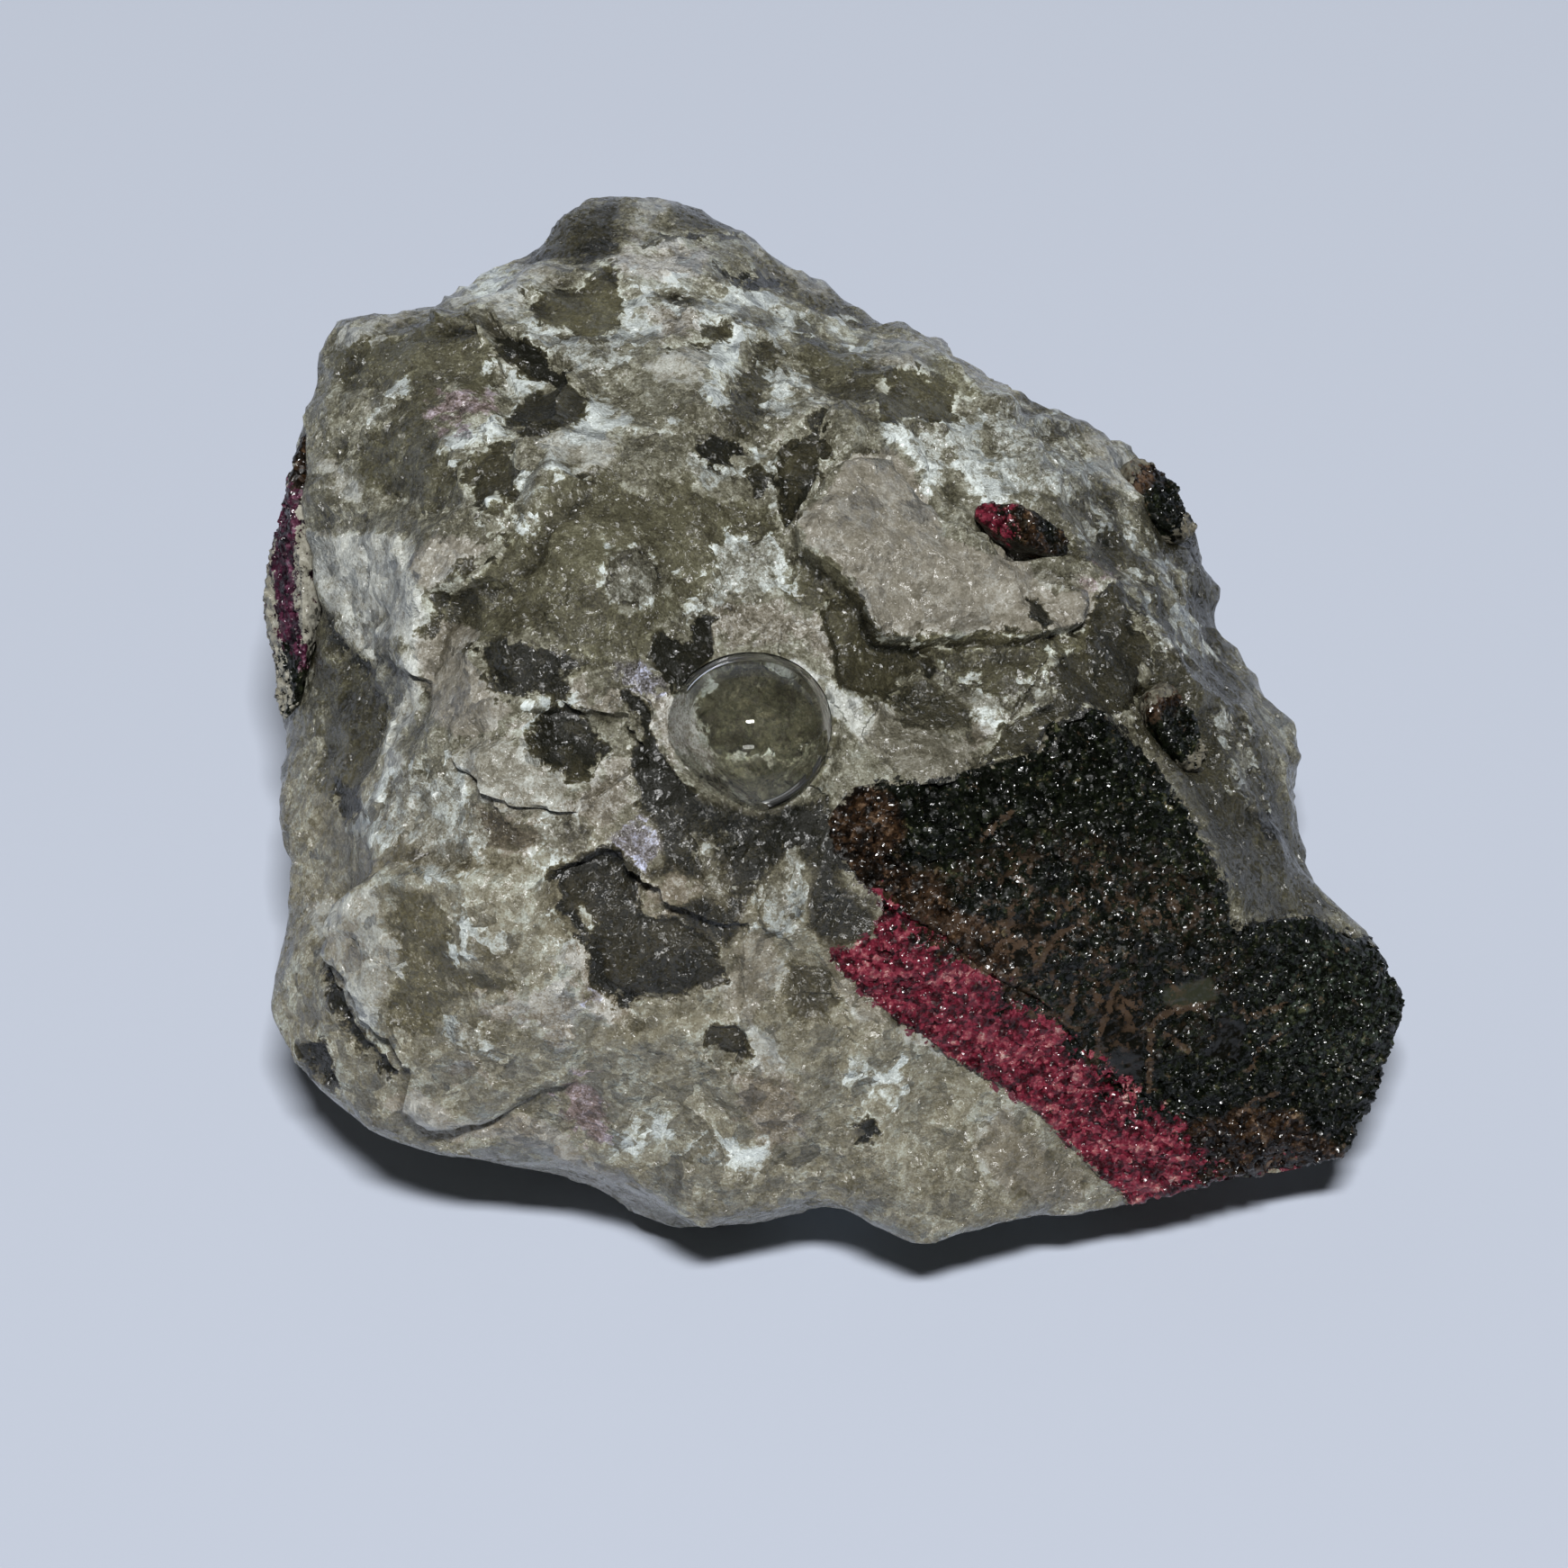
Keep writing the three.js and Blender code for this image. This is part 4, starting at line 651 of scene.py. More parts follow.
# the kinds that show on the hidden sides, each with its noise and with how rare it is
HIDDEN_DRIFTS = {Quartz.SMOKY: (61, 0.0), Quartz.DEEP: (71, 0.45), Quartz.FROST: (81, 0.3)}


# ---------------------------------------------------------------- meshes


def geodesic(rows: int) -> tuple[np.ndarray, np.ndarray]:
    """A ball of unit directions in even triangles.

    Args:
        rows: Rows of triangles along each edge of the icosahedron that it is made from.

    Returns:
        The directions, and the triangles as rows of three places in them.
    """
    golden = (1 + math.sqrt(5)) / 2
    corners = np.array([
        (-1, golden, 0), (1, golden, 0), (-1, -golden, 0), (1, -golden, 0),
        (0, -1, golden), (0, 1, golden), (0, -1, -golden), (0, 1, -golden),
        (golden, 0, -1), (golden, 0, 1), (-golden, 0, -1), (-golden, 0, 1),
    ])
    faces = (
        (0, 11, 5), (0, 5, 1), (0, 1, 7), (0, 7, 10), (0, 10, 11), (1, 5, 9), (5, 11, 4),
        (11, 10, 2), (10, 7, 6), (7, 1, 8), (3, 9, 4), (3, 4, 2), (3, 2, 6), (3, 6, 8),
        (3, 8, 9), (4, 9, 5), (2, 4, 11), (6, 2, 10), (8, 6, 7), (9, 8, 1),
    )
    grid = [(i, j) for i in range(rows + 1) for j in range(rows + 1 - i)]
    number = {place: k for k, place in enumerate(grid)}
    small = []
    for i, j in grid:
        if i + j < rows:
            small.append((number[i, j], number[i + 1, j], number[i, j + 1]))
        if i + j < rows - 1:
            small.append((number[i + 1, j], number[i + 1, j + 1], number[i, j + 1]))
    shares = np.array([((rows - i - j) / rows, i / rows, j / rows) for i, j in grid])
    points = np.concatenate([shares @ corners[list(face)] for face in faces])
    points /= np.linalg.norm(points, axis=1, keepdims=True)
    triangles = np.concatenate([np.array(small) + k * len(grid) for k in range(len(faces))])
    _, first, merged = np.unique(
        np.round(points * 1e6).astype(np.int64), axis=0, return_index=True, return_inverse=True
    )
    return points[first], merged.reshape(-1)[triangles]


class Web:
    """The neighbours of a mesh's points, for smoothing and for edges."""

    def __init__(self, count: int, faces: np.ndarray) -> None:
        """Finds each edge once.

        Args:
            count: How many points the mesh has.
            faces: Its faces, one row of point numbers each.
        """
        pairs = np.concatenate([faces[:, [k, (k + 1) % faces.shape[1]]] for k in range(faces.shape[1])])
        self.pairs = np.unique(np.sort(pairs, axis=1), axis=0)
        self.count = count
        self.degree = np.bincount(self.pairs.ravel(), minlength=count)

    def mean(self, values: np.ndarray) -> np.ndarray:
        """The mean of each point's neighbours."""
        a, b = self.pairs.T
        total = np.bincount(a, values[b], self.count) + np.bincount(b, values[a], self.count)
        return total / self.degree

    def softened(self, values: np.ndarray, passes: int) -> np.ndarray:
        """Values drawn half way to their neighbours' mean, a number of times."""
        for _ in range(passes):
            values = (values + self.mean(values)) / 2
        return values

    def spread(self, values: np.ndarray, pick: np.ufunc, passes: int) -> np.ndarray:
        """Values replaced by the largest or smallest near them, a number of times."""
        a, b = self.pairs.T
        for _ in range(passes):
            out = values.copy()
            pick.at(out, a, values[b])
            pick.at(out, b, values[a])
            values = out
        return values


def mesh_object(
    name: str, points: np.ndarray, faces: np.ndarray, fields: Fields, sharp: float
) -> bpy.types.Object:
    """Makes a mesh object with named fields on its points.

    Args:
        name: The piece's name.
        points: Points in millimetres.
        faces: Faces of three or four points each.
        fields: A number per point, by name.
        sharp: Angle in degrees above which an edge is left sharp.

    Returns:
        The object, linked to the scene.
    """
    mesh = bpy.data.meshes.new(name)
    sides = faces.shape[1]
    mesh.vertices.add(len(points))
    mesh.vertices.foreach_set("co", (points * MM).astype(np.float32).ravel())
    mesh.loops.add(faces.size)
    mesh.loops.foreach_set("vertex_index", faces.astype(np.int32).ravel())
    mesh.polygons.add(len(faces))
    mesh.polygons.foreach_set("loop_start", np.arange(0, faces.size, sides, dtype=np.int32))
    mesh.polygons.foreach_set("loop_total", np.full(len(faces), sides, np.int32))
    mesh.update(calc_edges=True)
    mesh.validate()
    mesh.polygons.foreach_set("use_smooth", np.ones(len(faces), bool))
    if sharp < 180:
        mesh.set_sharp_from_angle(angle=math.radians(sharp))
    for label, values in fields.items():
        attribute = mesh.attributes.new(label, "FLOAT", "POINT")
        attribute.data.foreach_set("value", values.astype(np.float32))
    piece = bpy.data.objects.new(name, mesh)
    bpy.context.scene.collection.objects.link(piece)
    return piece


def node_arrays(node: str) -> tuple[np.ndarray, list[tuple[int, ...]]]:
    """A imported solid's mesh.

    Args:
        node: The solid's name.

    Returns:
        Its points in millimetres, and its faces.
    """
    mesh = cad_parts[node].data
    points = np.zeros(len(mesh.vertices) * 3)
    mesh.vertices.foreach_get("co", points)
    return points.reshape(-1, 3) / MM, [tuple(p.vertices) for p in mesh.polygons]


def tree_of(nodes: Iterable[str]) -> BVHTree:
    """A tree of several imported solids' faces.

    Args:
        nodes: The solids' names.

    Returns:
        The tree, in millimetres, for finding surfaces.
    """
    points: list[Vector] = []
    faces: list[tuple[int, ...]] = []
    for node in nodes:
        start = len(points)
        own, own_faces = node_arrays(node)
        points.extend(Vector(p) for p in own)
        faces.extend(tuple(i + start for i in f) for f in own_faces)
    return BVHTree.FromPolygons(points, faces)


def remeshed(node: str, voxel: float) -> tuple[np.ndarray, np.ndarray]:
    """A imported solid's form in small even quads.

    Args:
        node: The solid's name.
        voxel: Side of a quad.

    Returns:
        Points in millimetres, and faces of four points.
    """
    bare = bpy.data.objects.new("bare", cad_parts[node].data.copy())
    bpy.context.scene.collection.objects.link(bare)
    modifier = bare.modifiers.new("even", "REMESH")
    modifier.mode = "VOXEL"
    modifier.voxel_size = voxel * MM
    bpy.context.view_layer.update()
    even = bpy.data.meshes.new_from_object(bare.evaluated_get(bpy.context.evaluated_depsgraph_get()))
    points = np.zeros(len(even.vertices) * 3)
    even.vertices.foreach_get("co", points)
    faces = np.array([tuple(p.vertices) for p in even.polygons if len(p.vertices) == 4])
    bpy.data.meshes.remove(even)
    data = bare.data
    bpy.data.objects.remove(bare)
    bpy.data.meshes.remove(data)
    return points.reshape(-1, 3) / MM, faces


def normals_of(points: np.ndarray, faces: np.ndarray) -> np.ndarray:
    """The outward normals of a mesh of quads.

    Args:
        points: Its points.
        faces: Its faces, one row of four point numbers each.

    Returns:
        One unit normal per point.
    """
    a, b, c, d = (points[faces[:, k]] for k in range(4))
    face = np.cross(b - d, c - a)
    normal = np.zeros_like(points)
    for axis in range(3):
        for k in range(4):
            normal[:, axis] += np.bincount(faces[:, k], face[:, axis], len(points))
    return normal / np.maximum(np.linalg.norm(normal, axis=1, keepdims=True), 1e-12)


# ---------------------------------------------------------------- finishes


def linear(colour: Sequence[int]) -> tuple[float, float, float, float]:
    """A colour given as 0 to 255, as the shader's linear numbers."""
    shares = [c / 255 for c in colour]
    return (*(s / 12.92 if s < 0.04045 else ((s + 0.055) / 1.055) ** 2.4 for s in shares), 1.0)


class Graph:
    """A short way to write a material's nodes."""

    def __init__(self, name: str) -> None:
        """Starts a material with one shader.

        Args:
            name: The material's name.
        """
        self.material = bpy.data.materials.new(name)
        self.material.use_nodes = True
        self.tree = self.material.node_tree
        self.shader = self.tree.nodes["Principled BSDF"]
        self.coordinates = self.tree.nodes.new("ShaderNodeTexCoord").outputs["Object"]
        self.wavy = self.coordinates

    def node(self, kind: str, inputs: dict[str | int, object], **settings: object) -> bpy.types.Node:
        """Adds a node.

        Args:
            kind: Blender's name for the node's type.
            inputs: A value or another node's output for each socket.
            **settings: Properties of the node itself.

        Returns:
            The node.
        """
        made = self.tree.nodes.new(kind)
        for key, value in settings.items():
            setattr(made, key, value)
        for key, value in inputs.items():
            if isinstance(value, bpy.types.NodeSocket):
                self.tree.links.new(value, made.inputs[key])
            else:
                made.inputs[key].default_value = value
        return made

    def field(self, name: str) -> bpy.types.NodeSocket:
        """A named field of the mesh's points."""
        return self.node("ShaderNodeAttribute", {}, attribute_name=name).outputs["Fac"]

    def math(self, operation: str, a: object, b: object = 0.0) -> bpy.types.NodeSocket:
        """One piece of arithmetic on two numbers."""
        return self.node("ShaderNodeMath", {0: a, 1: b}, operation=operation).outputs[0]

    def vector(
        self, operation: str, *inputs: object, scale: object = 1.0
    ) -> bpy.types.NodeSocket:
        """One piece of arithmetic on vectors."""
        sockets = {**dict(enumerate(inputs)), 3: scale}
        return self.node("ShaderNodeVectorMath", sockets, operation=operation).outputs[0]

    def sum(self, *terms: object) -> bpy.types.NodeSocket:
        """Several numbers added up."""
        return reduce(partial(self.math, "ADD"), terms)

    def times(self, *terms: object) -> bpy.types.NodeSocket:
        """Several numbers multiplied."""
        return reduce(partial(self.math, "MULTIPLY"), terms)

    def noise(self, spacing: float, detail: float = 3.0, rough: float = 0.55) -> bpy.types.NodeSocket:
        """Noise from about 0 to 1 with a spacing in millimetres."""
        return self.node("ShaderNodeTexNoise", {
            "Vector": self.coordinates, "Scale": 1 / (spacing * MM), "Detail": detail,
            "Roughness": rough,
        }).outputs["Fac"]

    def bend(self, spacing: float, reach: float) -> None:
        """Makes the edges of all later cells wander.

        Args:
            spacing: Distance between two bends in millimetres.
            reach: How far they wander in millimetres.
        """
        drift = self.node("ShaderNodeTexNoise", {
            "Vector": self.coordinates, "Scale": 1 / (spacing * MM), "Detail": 2.0,
        }).outputs["Color"]
        centred = self.vector("SUBTRACT", drift, (0.5, 0.5, 0.5))
        self.wavy = self.vector("MULTIPLY_ADD", centred, (4 * reach * MM,) * 3, self.coordinates)

    def cells(self, spacing: float, feature: str = "F1") -> bpy.types.Node:
        """Random cells with a spacing in millimetres."""
        return self.node(
            "ShaderNodeTexVoronoi", {"Vector": self.wavy, "Scale": 1 / (spacing * MM)},
            feature=feature,
        )

    def chances(self, spacing: float) -> Chances:
        """Outputs Red, Green and Blue with a random number from 0 to 1 for each cell."""
        return self.node("ShaderNodeSeparateColor", {0: self.cells(spacing).outputs["Color"]}).outputs

    def swing(self, value: object, reach: float) -> bpy.types.NodeSocket:
        """A number from 0 to 1 turned into one from -reach to reach."""
        return self.times(self.math("SUBTRACT", value, 0.5), 2.0 * reach)

    def rise(self, value: object, low: float, high: float, top: float = 1.0) -> bpy.types.NodeSocket:
        """0 below low, top above high, and a smooth rise between."""
        return self.node("ShaderNodeMapRange", {
            "Value": value, "From Min": low, "From Max": high, "To Min": 0.0, "To Max": top,
        }, interpolation_type="SMOOTHSTEP").outputs[0]

    def blend(self, share: object, below: object, above: object) -> bpy.types.NodeSocket:
        """Two colours laid over each other by a share."""
        made = self.node("ShaderNodeMix", {0: share, 6: below, 7: above}, data_type="RGBA")
        return made.outputs[2]

    def mix(self, share: object, below: object, above: object) -> bpy.types.NodeSocket:
        """Two numbers laid over each other by a share."""
        return self.node("ShaderNodeMix", {0: share, 2: below, 3: above}, data_type="FLOAT").outputs[0]

    def ramp(self, value: object, stops: Stops) -> bpy.types.NodeSocket:
        """A colour from a row of colours.

        Args:
            value: Where in the row.
            stops: The colours, each with its place from 0 to 1.

        Returns:
            The colour.
        """
        made = self.node("ShaderNodeValToRGB", {"Fac": value})
        band = made.color_ramp.elements
        for place, _ in stops[2:]:
            band.new(place)
        for stop, (place, colour) in zip(band, stops):
            stop.position = place
            stop.color = linear(colour)
        return made.outputs["Color"]

    def tint(self, share: object, base: object, factor: object) -> bpy.types.NodeSocket:
        """A colour multiplied by another by a share."""
        made = self.node(
            "ShaderNodeMix", {0: share, 6: base, 7: factor}, data_type="RGBA", blend_type="MULTIPLY"
        )
        return made.outputs[2]

    def bump(self, height: object, depth: float) -> bpy.types.NodeSocket:
        """A bumped normal from a height and the depth in millimetres that it stands for."""
        return self.node("ShaderNodeBump", {"Height": height, "Distance": depth * MM}).outputs[0]

    def lean(self, spacing: float, tilt: object, normal: object) -> bpy.types.NodeSocket:
        """A normal that leans another way in each small cell.

        Args:
            spacing: Size of a cell in millimetres.
            tilt: How far the normals lean.
            normal: The normal that they lean from.

        Returns:
            The leaning normal.
        """
        way = self.vector("SUBTRACT", self.cells(spacing).outputs["Color"], (0.5, 0.5, 0.5))
        grown = self.vector("SCALE", way, scale=self.times(tilt, 2.0))
        return self.vector("NORMALIZE", self.vector("ADD", grown, normal))

    def set(self, **sockets: object) -> None:
        """Sets or links the shader's sockets, by name with _ for a space."""
        for key, value in sockets.items():
            socket = self.shader.inputs[key.replace("_", " ")]
            if isinstance(value, bpy.types.NodeSocket):
                self.tree.links.new(value, socket)
            else:
                socket.default_value = value


@dataclass(frozen=True)
class Ground:
    """How one kind of quartz looks.

    Attributes:
        level: How frosted it is, from 0 for clear and dark to 1 for white.
        spread: How far the frost varies within it.
        tint: What its colour is multiplied by.
        soft: Half the width of its edge, in millimetres.
        ragged: How far its edge wanders, in millimetres.
    """

    level: float
    spread: float
    tint: Colour
    soft: float
    ragged: float


GROUNDS = {
    Quartz.SMOKY: Ground(0.27, 0.28, (0.98, 0.99, 0.85), 0.4, 1.5),
    Quartz.PALE: Ground(0.6, 0.26, (1.0, 0.99, 1.0), 0.25, 1.2),
    Quartz.TAN: Ground(0.52, 0.4, (0.97, 0.92, 0.92), 0.35, 1.8),
    Quartz.PLATE: Ground(0.56, 0.2, (0.985, 0.94, 0.94), 0.12, 0.6),
    Quartz.FROST: Ground(0.68, 0.42, (0.97, 1.0, 1.04), 0.5, 2.2),
    Quartz.LILAC: Ground(0.5, 0.6, (0.93, 0.93, 1.28), 0.3, 1.2),
    Quartz.PINK: Ground(0.52, 0.5, (0.96, 0.78, 0.94), 0.5, 2.0),
    Quartz.DEEP: Ground(0.13, 0.24, (1.0, 1.0, 0.81), 0.2, 1.0),
}


@dataclass(frozen=True)
class QuartzFinish:
    """Smoky to milky quartz, broken and wet-looking.

    Attributes:
        frost: Its colours from clear to white, each with its place from 0 to 1.
        plain: The ground where no patch lies.
        foot: How much lighter its foot is painted, as painted light on the front slope.
        foot_tint: What its pale parts are multiplied by there.
        strays: The colours of dark and of pink grains that stray into it.
        flake: Size of its flakes, in millimetres.
        chip: Size of its chips.
        glint: Size of the facets that its gloss is broken up in.
        glint_lean: How far those facets lean, where few glint and how much further where many do.
    """

    frost: Stops = (
        (0.0, (20, 20, 14)), (0.2, (56, 53, 42)), (0.4, (92, 89, 75)), (0.6, (134, 132, 119)),
        (0.8, (178, 181, 173)), (1.0, (218, 223, 217)),
    )
    plain: Ground = Ground(0.48, 0.34, (0.99, 1.0, 0.96), 0.0, 0.0)
    foot: float = 0.06
    foot_tint: Colour = (1.0, 0.94, 0.88)
    strays: tuple[Tone, Tone] = ((22, 22, 17), (92, 34, 46))
    flake: float = 2.4
    chip: float = 0.9
    glint: float = 0.32
    glint_lean: tuple[float, float] = (0.42, 0.4)

    def material(self) -> bpy.types.Material:
        """Makes the material."""
        g = Graph("smoky_quartz")
        grainy, fine = g.noise(1.3, 5, 0.7), g.noise(0.32, 3, 0.6)
        g.bend(2.0, 0.5)
        flakes, chips = g.chances(self.flake), g.chances(self.chip)
        level, tint = self.level(g, grainy, fine, flakes, chips)
        colour = g.tint(1.0, g.ramp(level, self.frost), tint)
        warm = g.times(g.field("foot"), g.rise(level, 0.75, 0.5))
        colour = g.tint(warm, colour, (*self.foot_tint, 1.0))
        stray = g.rise(g.sum(g.field("zone"), g.swing(grainy, 1.6), g.swing(chips["Blue"], 0.5)), 0.0, 0.12)
        colour = g.blend(stray, colour, g.blend(g.field("pinkness"), *map(linear, self.strays)))
        frosted = g.times(g.rise(level, 0.1, 0.7), g.math("SUBTRACT", 1.0, stray))
        bumped = g.bump(g.sum(fine, g.times(grainy, 1.5)), 0.13)
        hackly = g.sum(g.times(frosted, 0.25), 0.06)
        broken = g.lean(self.chip, hackly, g.lean(self.flake, hackly, bumped))
        fewest, more = self.glint_lean
        clustered = g.sum(g.rise(g.noise(4.0, 3), 0.42, 0.58, more), fewest)
        g.set(
            Base_Color=colour,
            Roughness=g.sum(g.times(frosted, 0.25), 0.5),
            IOR=1.55,
            Specular_IOR_Level=0.16,
            Normal=broken,
            Coat_Weight=1.0,
            Coat_Roughness=0.2,
            Coat_IOR=1.5,
            Coat_Normal=g.lean(self.glint, clustered, broken),
        )
        return g.material

    def level(
        self, g: Graph, grainy: object, fine: object, flakes: Chances, chips: Chances
    ) -> tuple[object, object]:
        """How frosted the quartz is, with its flakes, flecks and worn edges, painted shade in its crevices
        and painted light on its foot.

        Args:
            g: The material's nodes.
            grainy: Noise of the size of a grain.
            fine: Finer noise.
            flakes: Random numbers for each flake.
            chips: Random numbers for each chip.

        Returns:
            The level from 0 to 1, and the tint.
        """
        wander = g.math("SUBTRACT", g.noise(1.8, 6, 0.68), 0.5)
        chipped = g.sum(g.swing(flakes["Green"], 0.12), g.swing(chips["Green"], 0.08))
        ground, spread, tint = self.grounds(g, g.sum(wander, chipped))
        over = g.math("SUBTRACT", ground, 0.5)
        flaked = g.sum(
            g.times(g.noise(2.0, 6, 0.68), 0.6), g.times(grainy, 0.4), g.times(flakes["Red"], 0.12),
            g.times(over, 0.5))
        flecked = g.sum(g.noise(0.7, 4, 0.7), g.times(chips["Red"], 0.1), g.times(over, 0.4))
        swings = (
            (g.noise(5.0, 5, 0.6), 0.2), (grainy, 0.2), (g.field("flake"), 0.3), (flakes["Green"], 0.14),
            (chips["Green"], 0.16), (fine, 0.5), (g.noise(0.16, 1), 0.5),
        )
        swing = g.sum(
            g.times(g.math("SUBTRACT", g.rise(flaked, 0.55, 0.6), ground), 0.28),
            g.times(g.math("SUBTRACT", g.rise(flecked, 0.56, 0.6), 0.35), 0.42),
            *(g.swing(value, reach) for value, reach in swings))
        calm = g.sum(g.times(g.field("foot"), -0.3), 1.0)
        ridges = g.rise(g.field("ridge"), 0.05, 0.4, 0.1)
        # painted shade: the crevices are painted darker
        crevice_shade = g.rise(g.field("crevice"), 0.04, 0.24, 0.15)
        return g.math("SUBTRACT", g.sum(ground, g.times(swing, spread, calm), ridges), crevice_shade), tint

    def grounds(self, g: Graph, wander: object) -> tuple[object, object, object]:
        """Lays the kinds of quartz over the plain ground, with the foot painted lighter as painted light.

        Args:
            g: The material's nodes.
            wander: Noise around 0 that the edges follow.

        Returns:
            The frost's level, how far it varies, and the tint.
        """
        # painted light: the foot is painted lighter, as if the lamp lit the front slope more
        level: object = g.sum(g.times(g.field("foot"), self.foot), self.plain.level)
        spread: object = self.plain.spread
        tint: object = (*self.plain.tint, 1.0)
        # painted light: the kinds laid on the foot are painted lighter too
        lift = g.times(g.field("foot"), 0.6 * self.foot)
        for kind, ground in GROUNDS.items():
            edge = g.sum(g.field(kind.value), g.times(wander, 3 * ground.ragged))
            mask = g.rise(edge, -ground.soft, ground.soft)
            level = g.mix(mask, level, g.sum(lift, ground.level))
            spread = g.mix(mask, spread, ground.spread)
            tint = g.blend(mask, tint, (*ground.tint, 1.0))
            if kind is Quartz.DEEP:
                rim = g.times(g.rise(edge, -0.6, -0.15), g.rise(edge, -0.05, -0.15))
                level = g.sum(level, g.times(rim, 0.1))
        return g.sum(level, g.field("tone")), spread, tint


@dataclass(frozen=True)
class CrystalFinish:
    """Black crystals and pink lepidolite in grains that run into each other.

    Attributes:
        name: The material's name.
        rosy: The pink grains' colours, from the least to the most common end.
        dark: The dark grains' colours, in the same way.
        brown: The reddish brown grains' colours, in the same way.
        host: The colours of the quartz that shows between the grains.
        fleck: The colour of grey flecks.
        panels: The colours of dark and of pale panels.
        vein: The colour of veins.
        grain: Size of a grain in millimetres.
        facet: Size of the facets that its surface is broken up in.
        glint: Size of the facets of its gloss.
    """

    name: str
    rosy: Stops = (
        (0.0, (18, 5, 7)), (0.3, (56, 15, 22)), (0.52, (98, 27, 43)), (0.68, (124, 48, 62)),
        (0.84, (148, 88, 90)), (1.0, (190, 158, 150)),
    )
    dark: Stops = (
        (0.0, (2, 3, 1)), (0.4, (7, 10, 5)), (0.62, (13, 17, 9)), (0.82, (28, 33, 19)),
        (1.0, (84, 86, 60)),
    )
    brown: Stops = (
        (0.0, (6, 4, 2)), (0.35, (17, 11, 6)), (0.6, (36, 24, 14)), (0.8, (62, 45, 30)),
        (1.0, (116, 94, 74)),
    )
    host: Stops = ((0.3, (58, 54, 43)), (0.7, (126, 122, 108)))
    fleck: Tone = (78, 90, 78)
    panels: tuple[Tone, Tone] = ((9, 8, 4), (48, 50, 38))
    vein: Tone = (88, 70, 55)
    grain: float = 0.55
    facet: float = 0.45
    glint: float = 0.26

    def material(self) -> bpy.types.Material:
        """Makes the material."""
        g = Graph(self.name)
        broad, grainy = g.noise(3.0, 4, 0.6), g.noise(0.7, 4, 0.7)
        g.bend(0.7, 0.16)
        grains = g.chances(self.grain)
        chance = g.sum(
            g.times(grains["Red"], 0.45), g.swing(grainy, 0.8), g.swing(broad, 0.5), 0.24)
        share = g.sum(
            g.field("pinkness"), g.swing(broad, 0.85), g.swing(grainy, 0.7), g.swing(grains["Blue"], 0.3))
        colour = g.blend(
            g.rise(share, 0.42, 0.6), self.dark_part(g, chance, broad, grainy), g.ramp(chance, self.rosy))
        host = g.rise(g.sum(g.field("host"), g.swing(grainy, 1.2), g.swing(grains["Green"], 0.3)), 0.7, 0.8)
        colour = g.blend(host, colour, g.ramp(grainy, self.host))
        still = g.sum(g.times(g.field("panel"), -0.8), 1.0)
        faceted = g.lean(self.facet, g.times(still, 0.34), g.bump(grainy, 0.05))
        g.set(
            Base_Color=colour,
            Roughness=g.sum(g.rise(grainy, 0.5, 0.7, 0.2), 0.35),
            IOR=1.5,
            Specular_IOR_Level=0.1,
            Normal=faceted,
            Coat_Weight=0.5,
            Coat_Roughness=0.16,
            Coat_IOR=1.5,
            Coat_Normal=g.lean(self.glint, g.times(still, 0.6), faceted),
        )
        return g.material

    def dark_part(self, g: Graph, chance: object, broad: object, grainy: object) -> object:
        """The black and brown grains, with the panels and veins in them.

        Args:
            g: The material's nodes.
            chance: What picks each grain's colour.
            broad: Noise of the size of a few grains.
            grainy: Noise of the size of one.

        Returns:
            Their colour.
        """
        share = g.sum(g.field("brown"), g.swing(broad, 0.8))
        colour = g.blend(g.rise(share, 0.4, 0.8), g.ramp(chance, self.dark), g.ramp(chance, self.brown))
        flecked = g.times(g.field("grey"), g.rise(g.noise(0.5, 3), 0.52, 0.68, 0.4))
        colour = g.blend(flecked, colour, linear(self.fleck))
        panel = g.rise(g.sum(g.field("panel"), g.swing(grainy, 0.9)), 0.3, 0.8, 0.9)
        colour = g.blend(panel, colour, g.blend(g.field("pale_panel"), *map(linear, self.panels)))
        edge = g.cells(1.9, "DISTANCE_TO_EDGE").outputs["Distance"]
        net = g.rise(g.sum(edge, g.swing(grainy, 0.9)), 0.12, 0.0)
        net = g.times(net, g.field("veins"), g.rise(broad, 0.38, 0.6, 0.65))
        streak = g.rise(g.sum(g.field("streak"), g.swing(grainy, 2.4)), 0.5, 0.9, 0.5)
        return g.blend(g.math("MAXIMUM", net, streak), colour, linear(self.vein))


@dataclass(frozen=True)
class ClearFinish:
    """A clear hard drop."""

    def material(self) -> bpy.types.Material:
        """Makes the material."""
        g = Graph("clear_drop")
        g.set(Base_Color=(0.97, 0.98, 0.97, 1.0), Roughness=0.02, IOR=1.4, Transmission_Weight=1.0)
        return g.material


@dataclass(frozen=True)
class FloorFinish:
    """A plain pale floor.

    Attributes:
        colour: Its colour.
    """

    colour: Tone = (180, 187, 201)

    def material(self) -> bpy.types.Material:
        """Makes the material."""
        g = Graph("floor")
        g.set(Base_Color=linear(self.colour), Roughness=0.9)
        return g.material


# ---------------------------------------------------------------- pieces


@dataclass(frozen=True)
class Break:
    """The shell-like hollows of one size that the quartz breaks in.

    Attributes:
        size: Size of a hollow in millimetres.
        depth: How deep the hollows are cut.
        lean: How far they lean.
        salt: Picks one of many unlike breaks.
    """

    size: float
    depth: float
    lean: float
    salt: int

    def height(self, points: np.ndarray) -> np.ndarray:
        """The break's height at each point."""
        return self.depth * scoops(points, self.size, self.lean, self.salt)


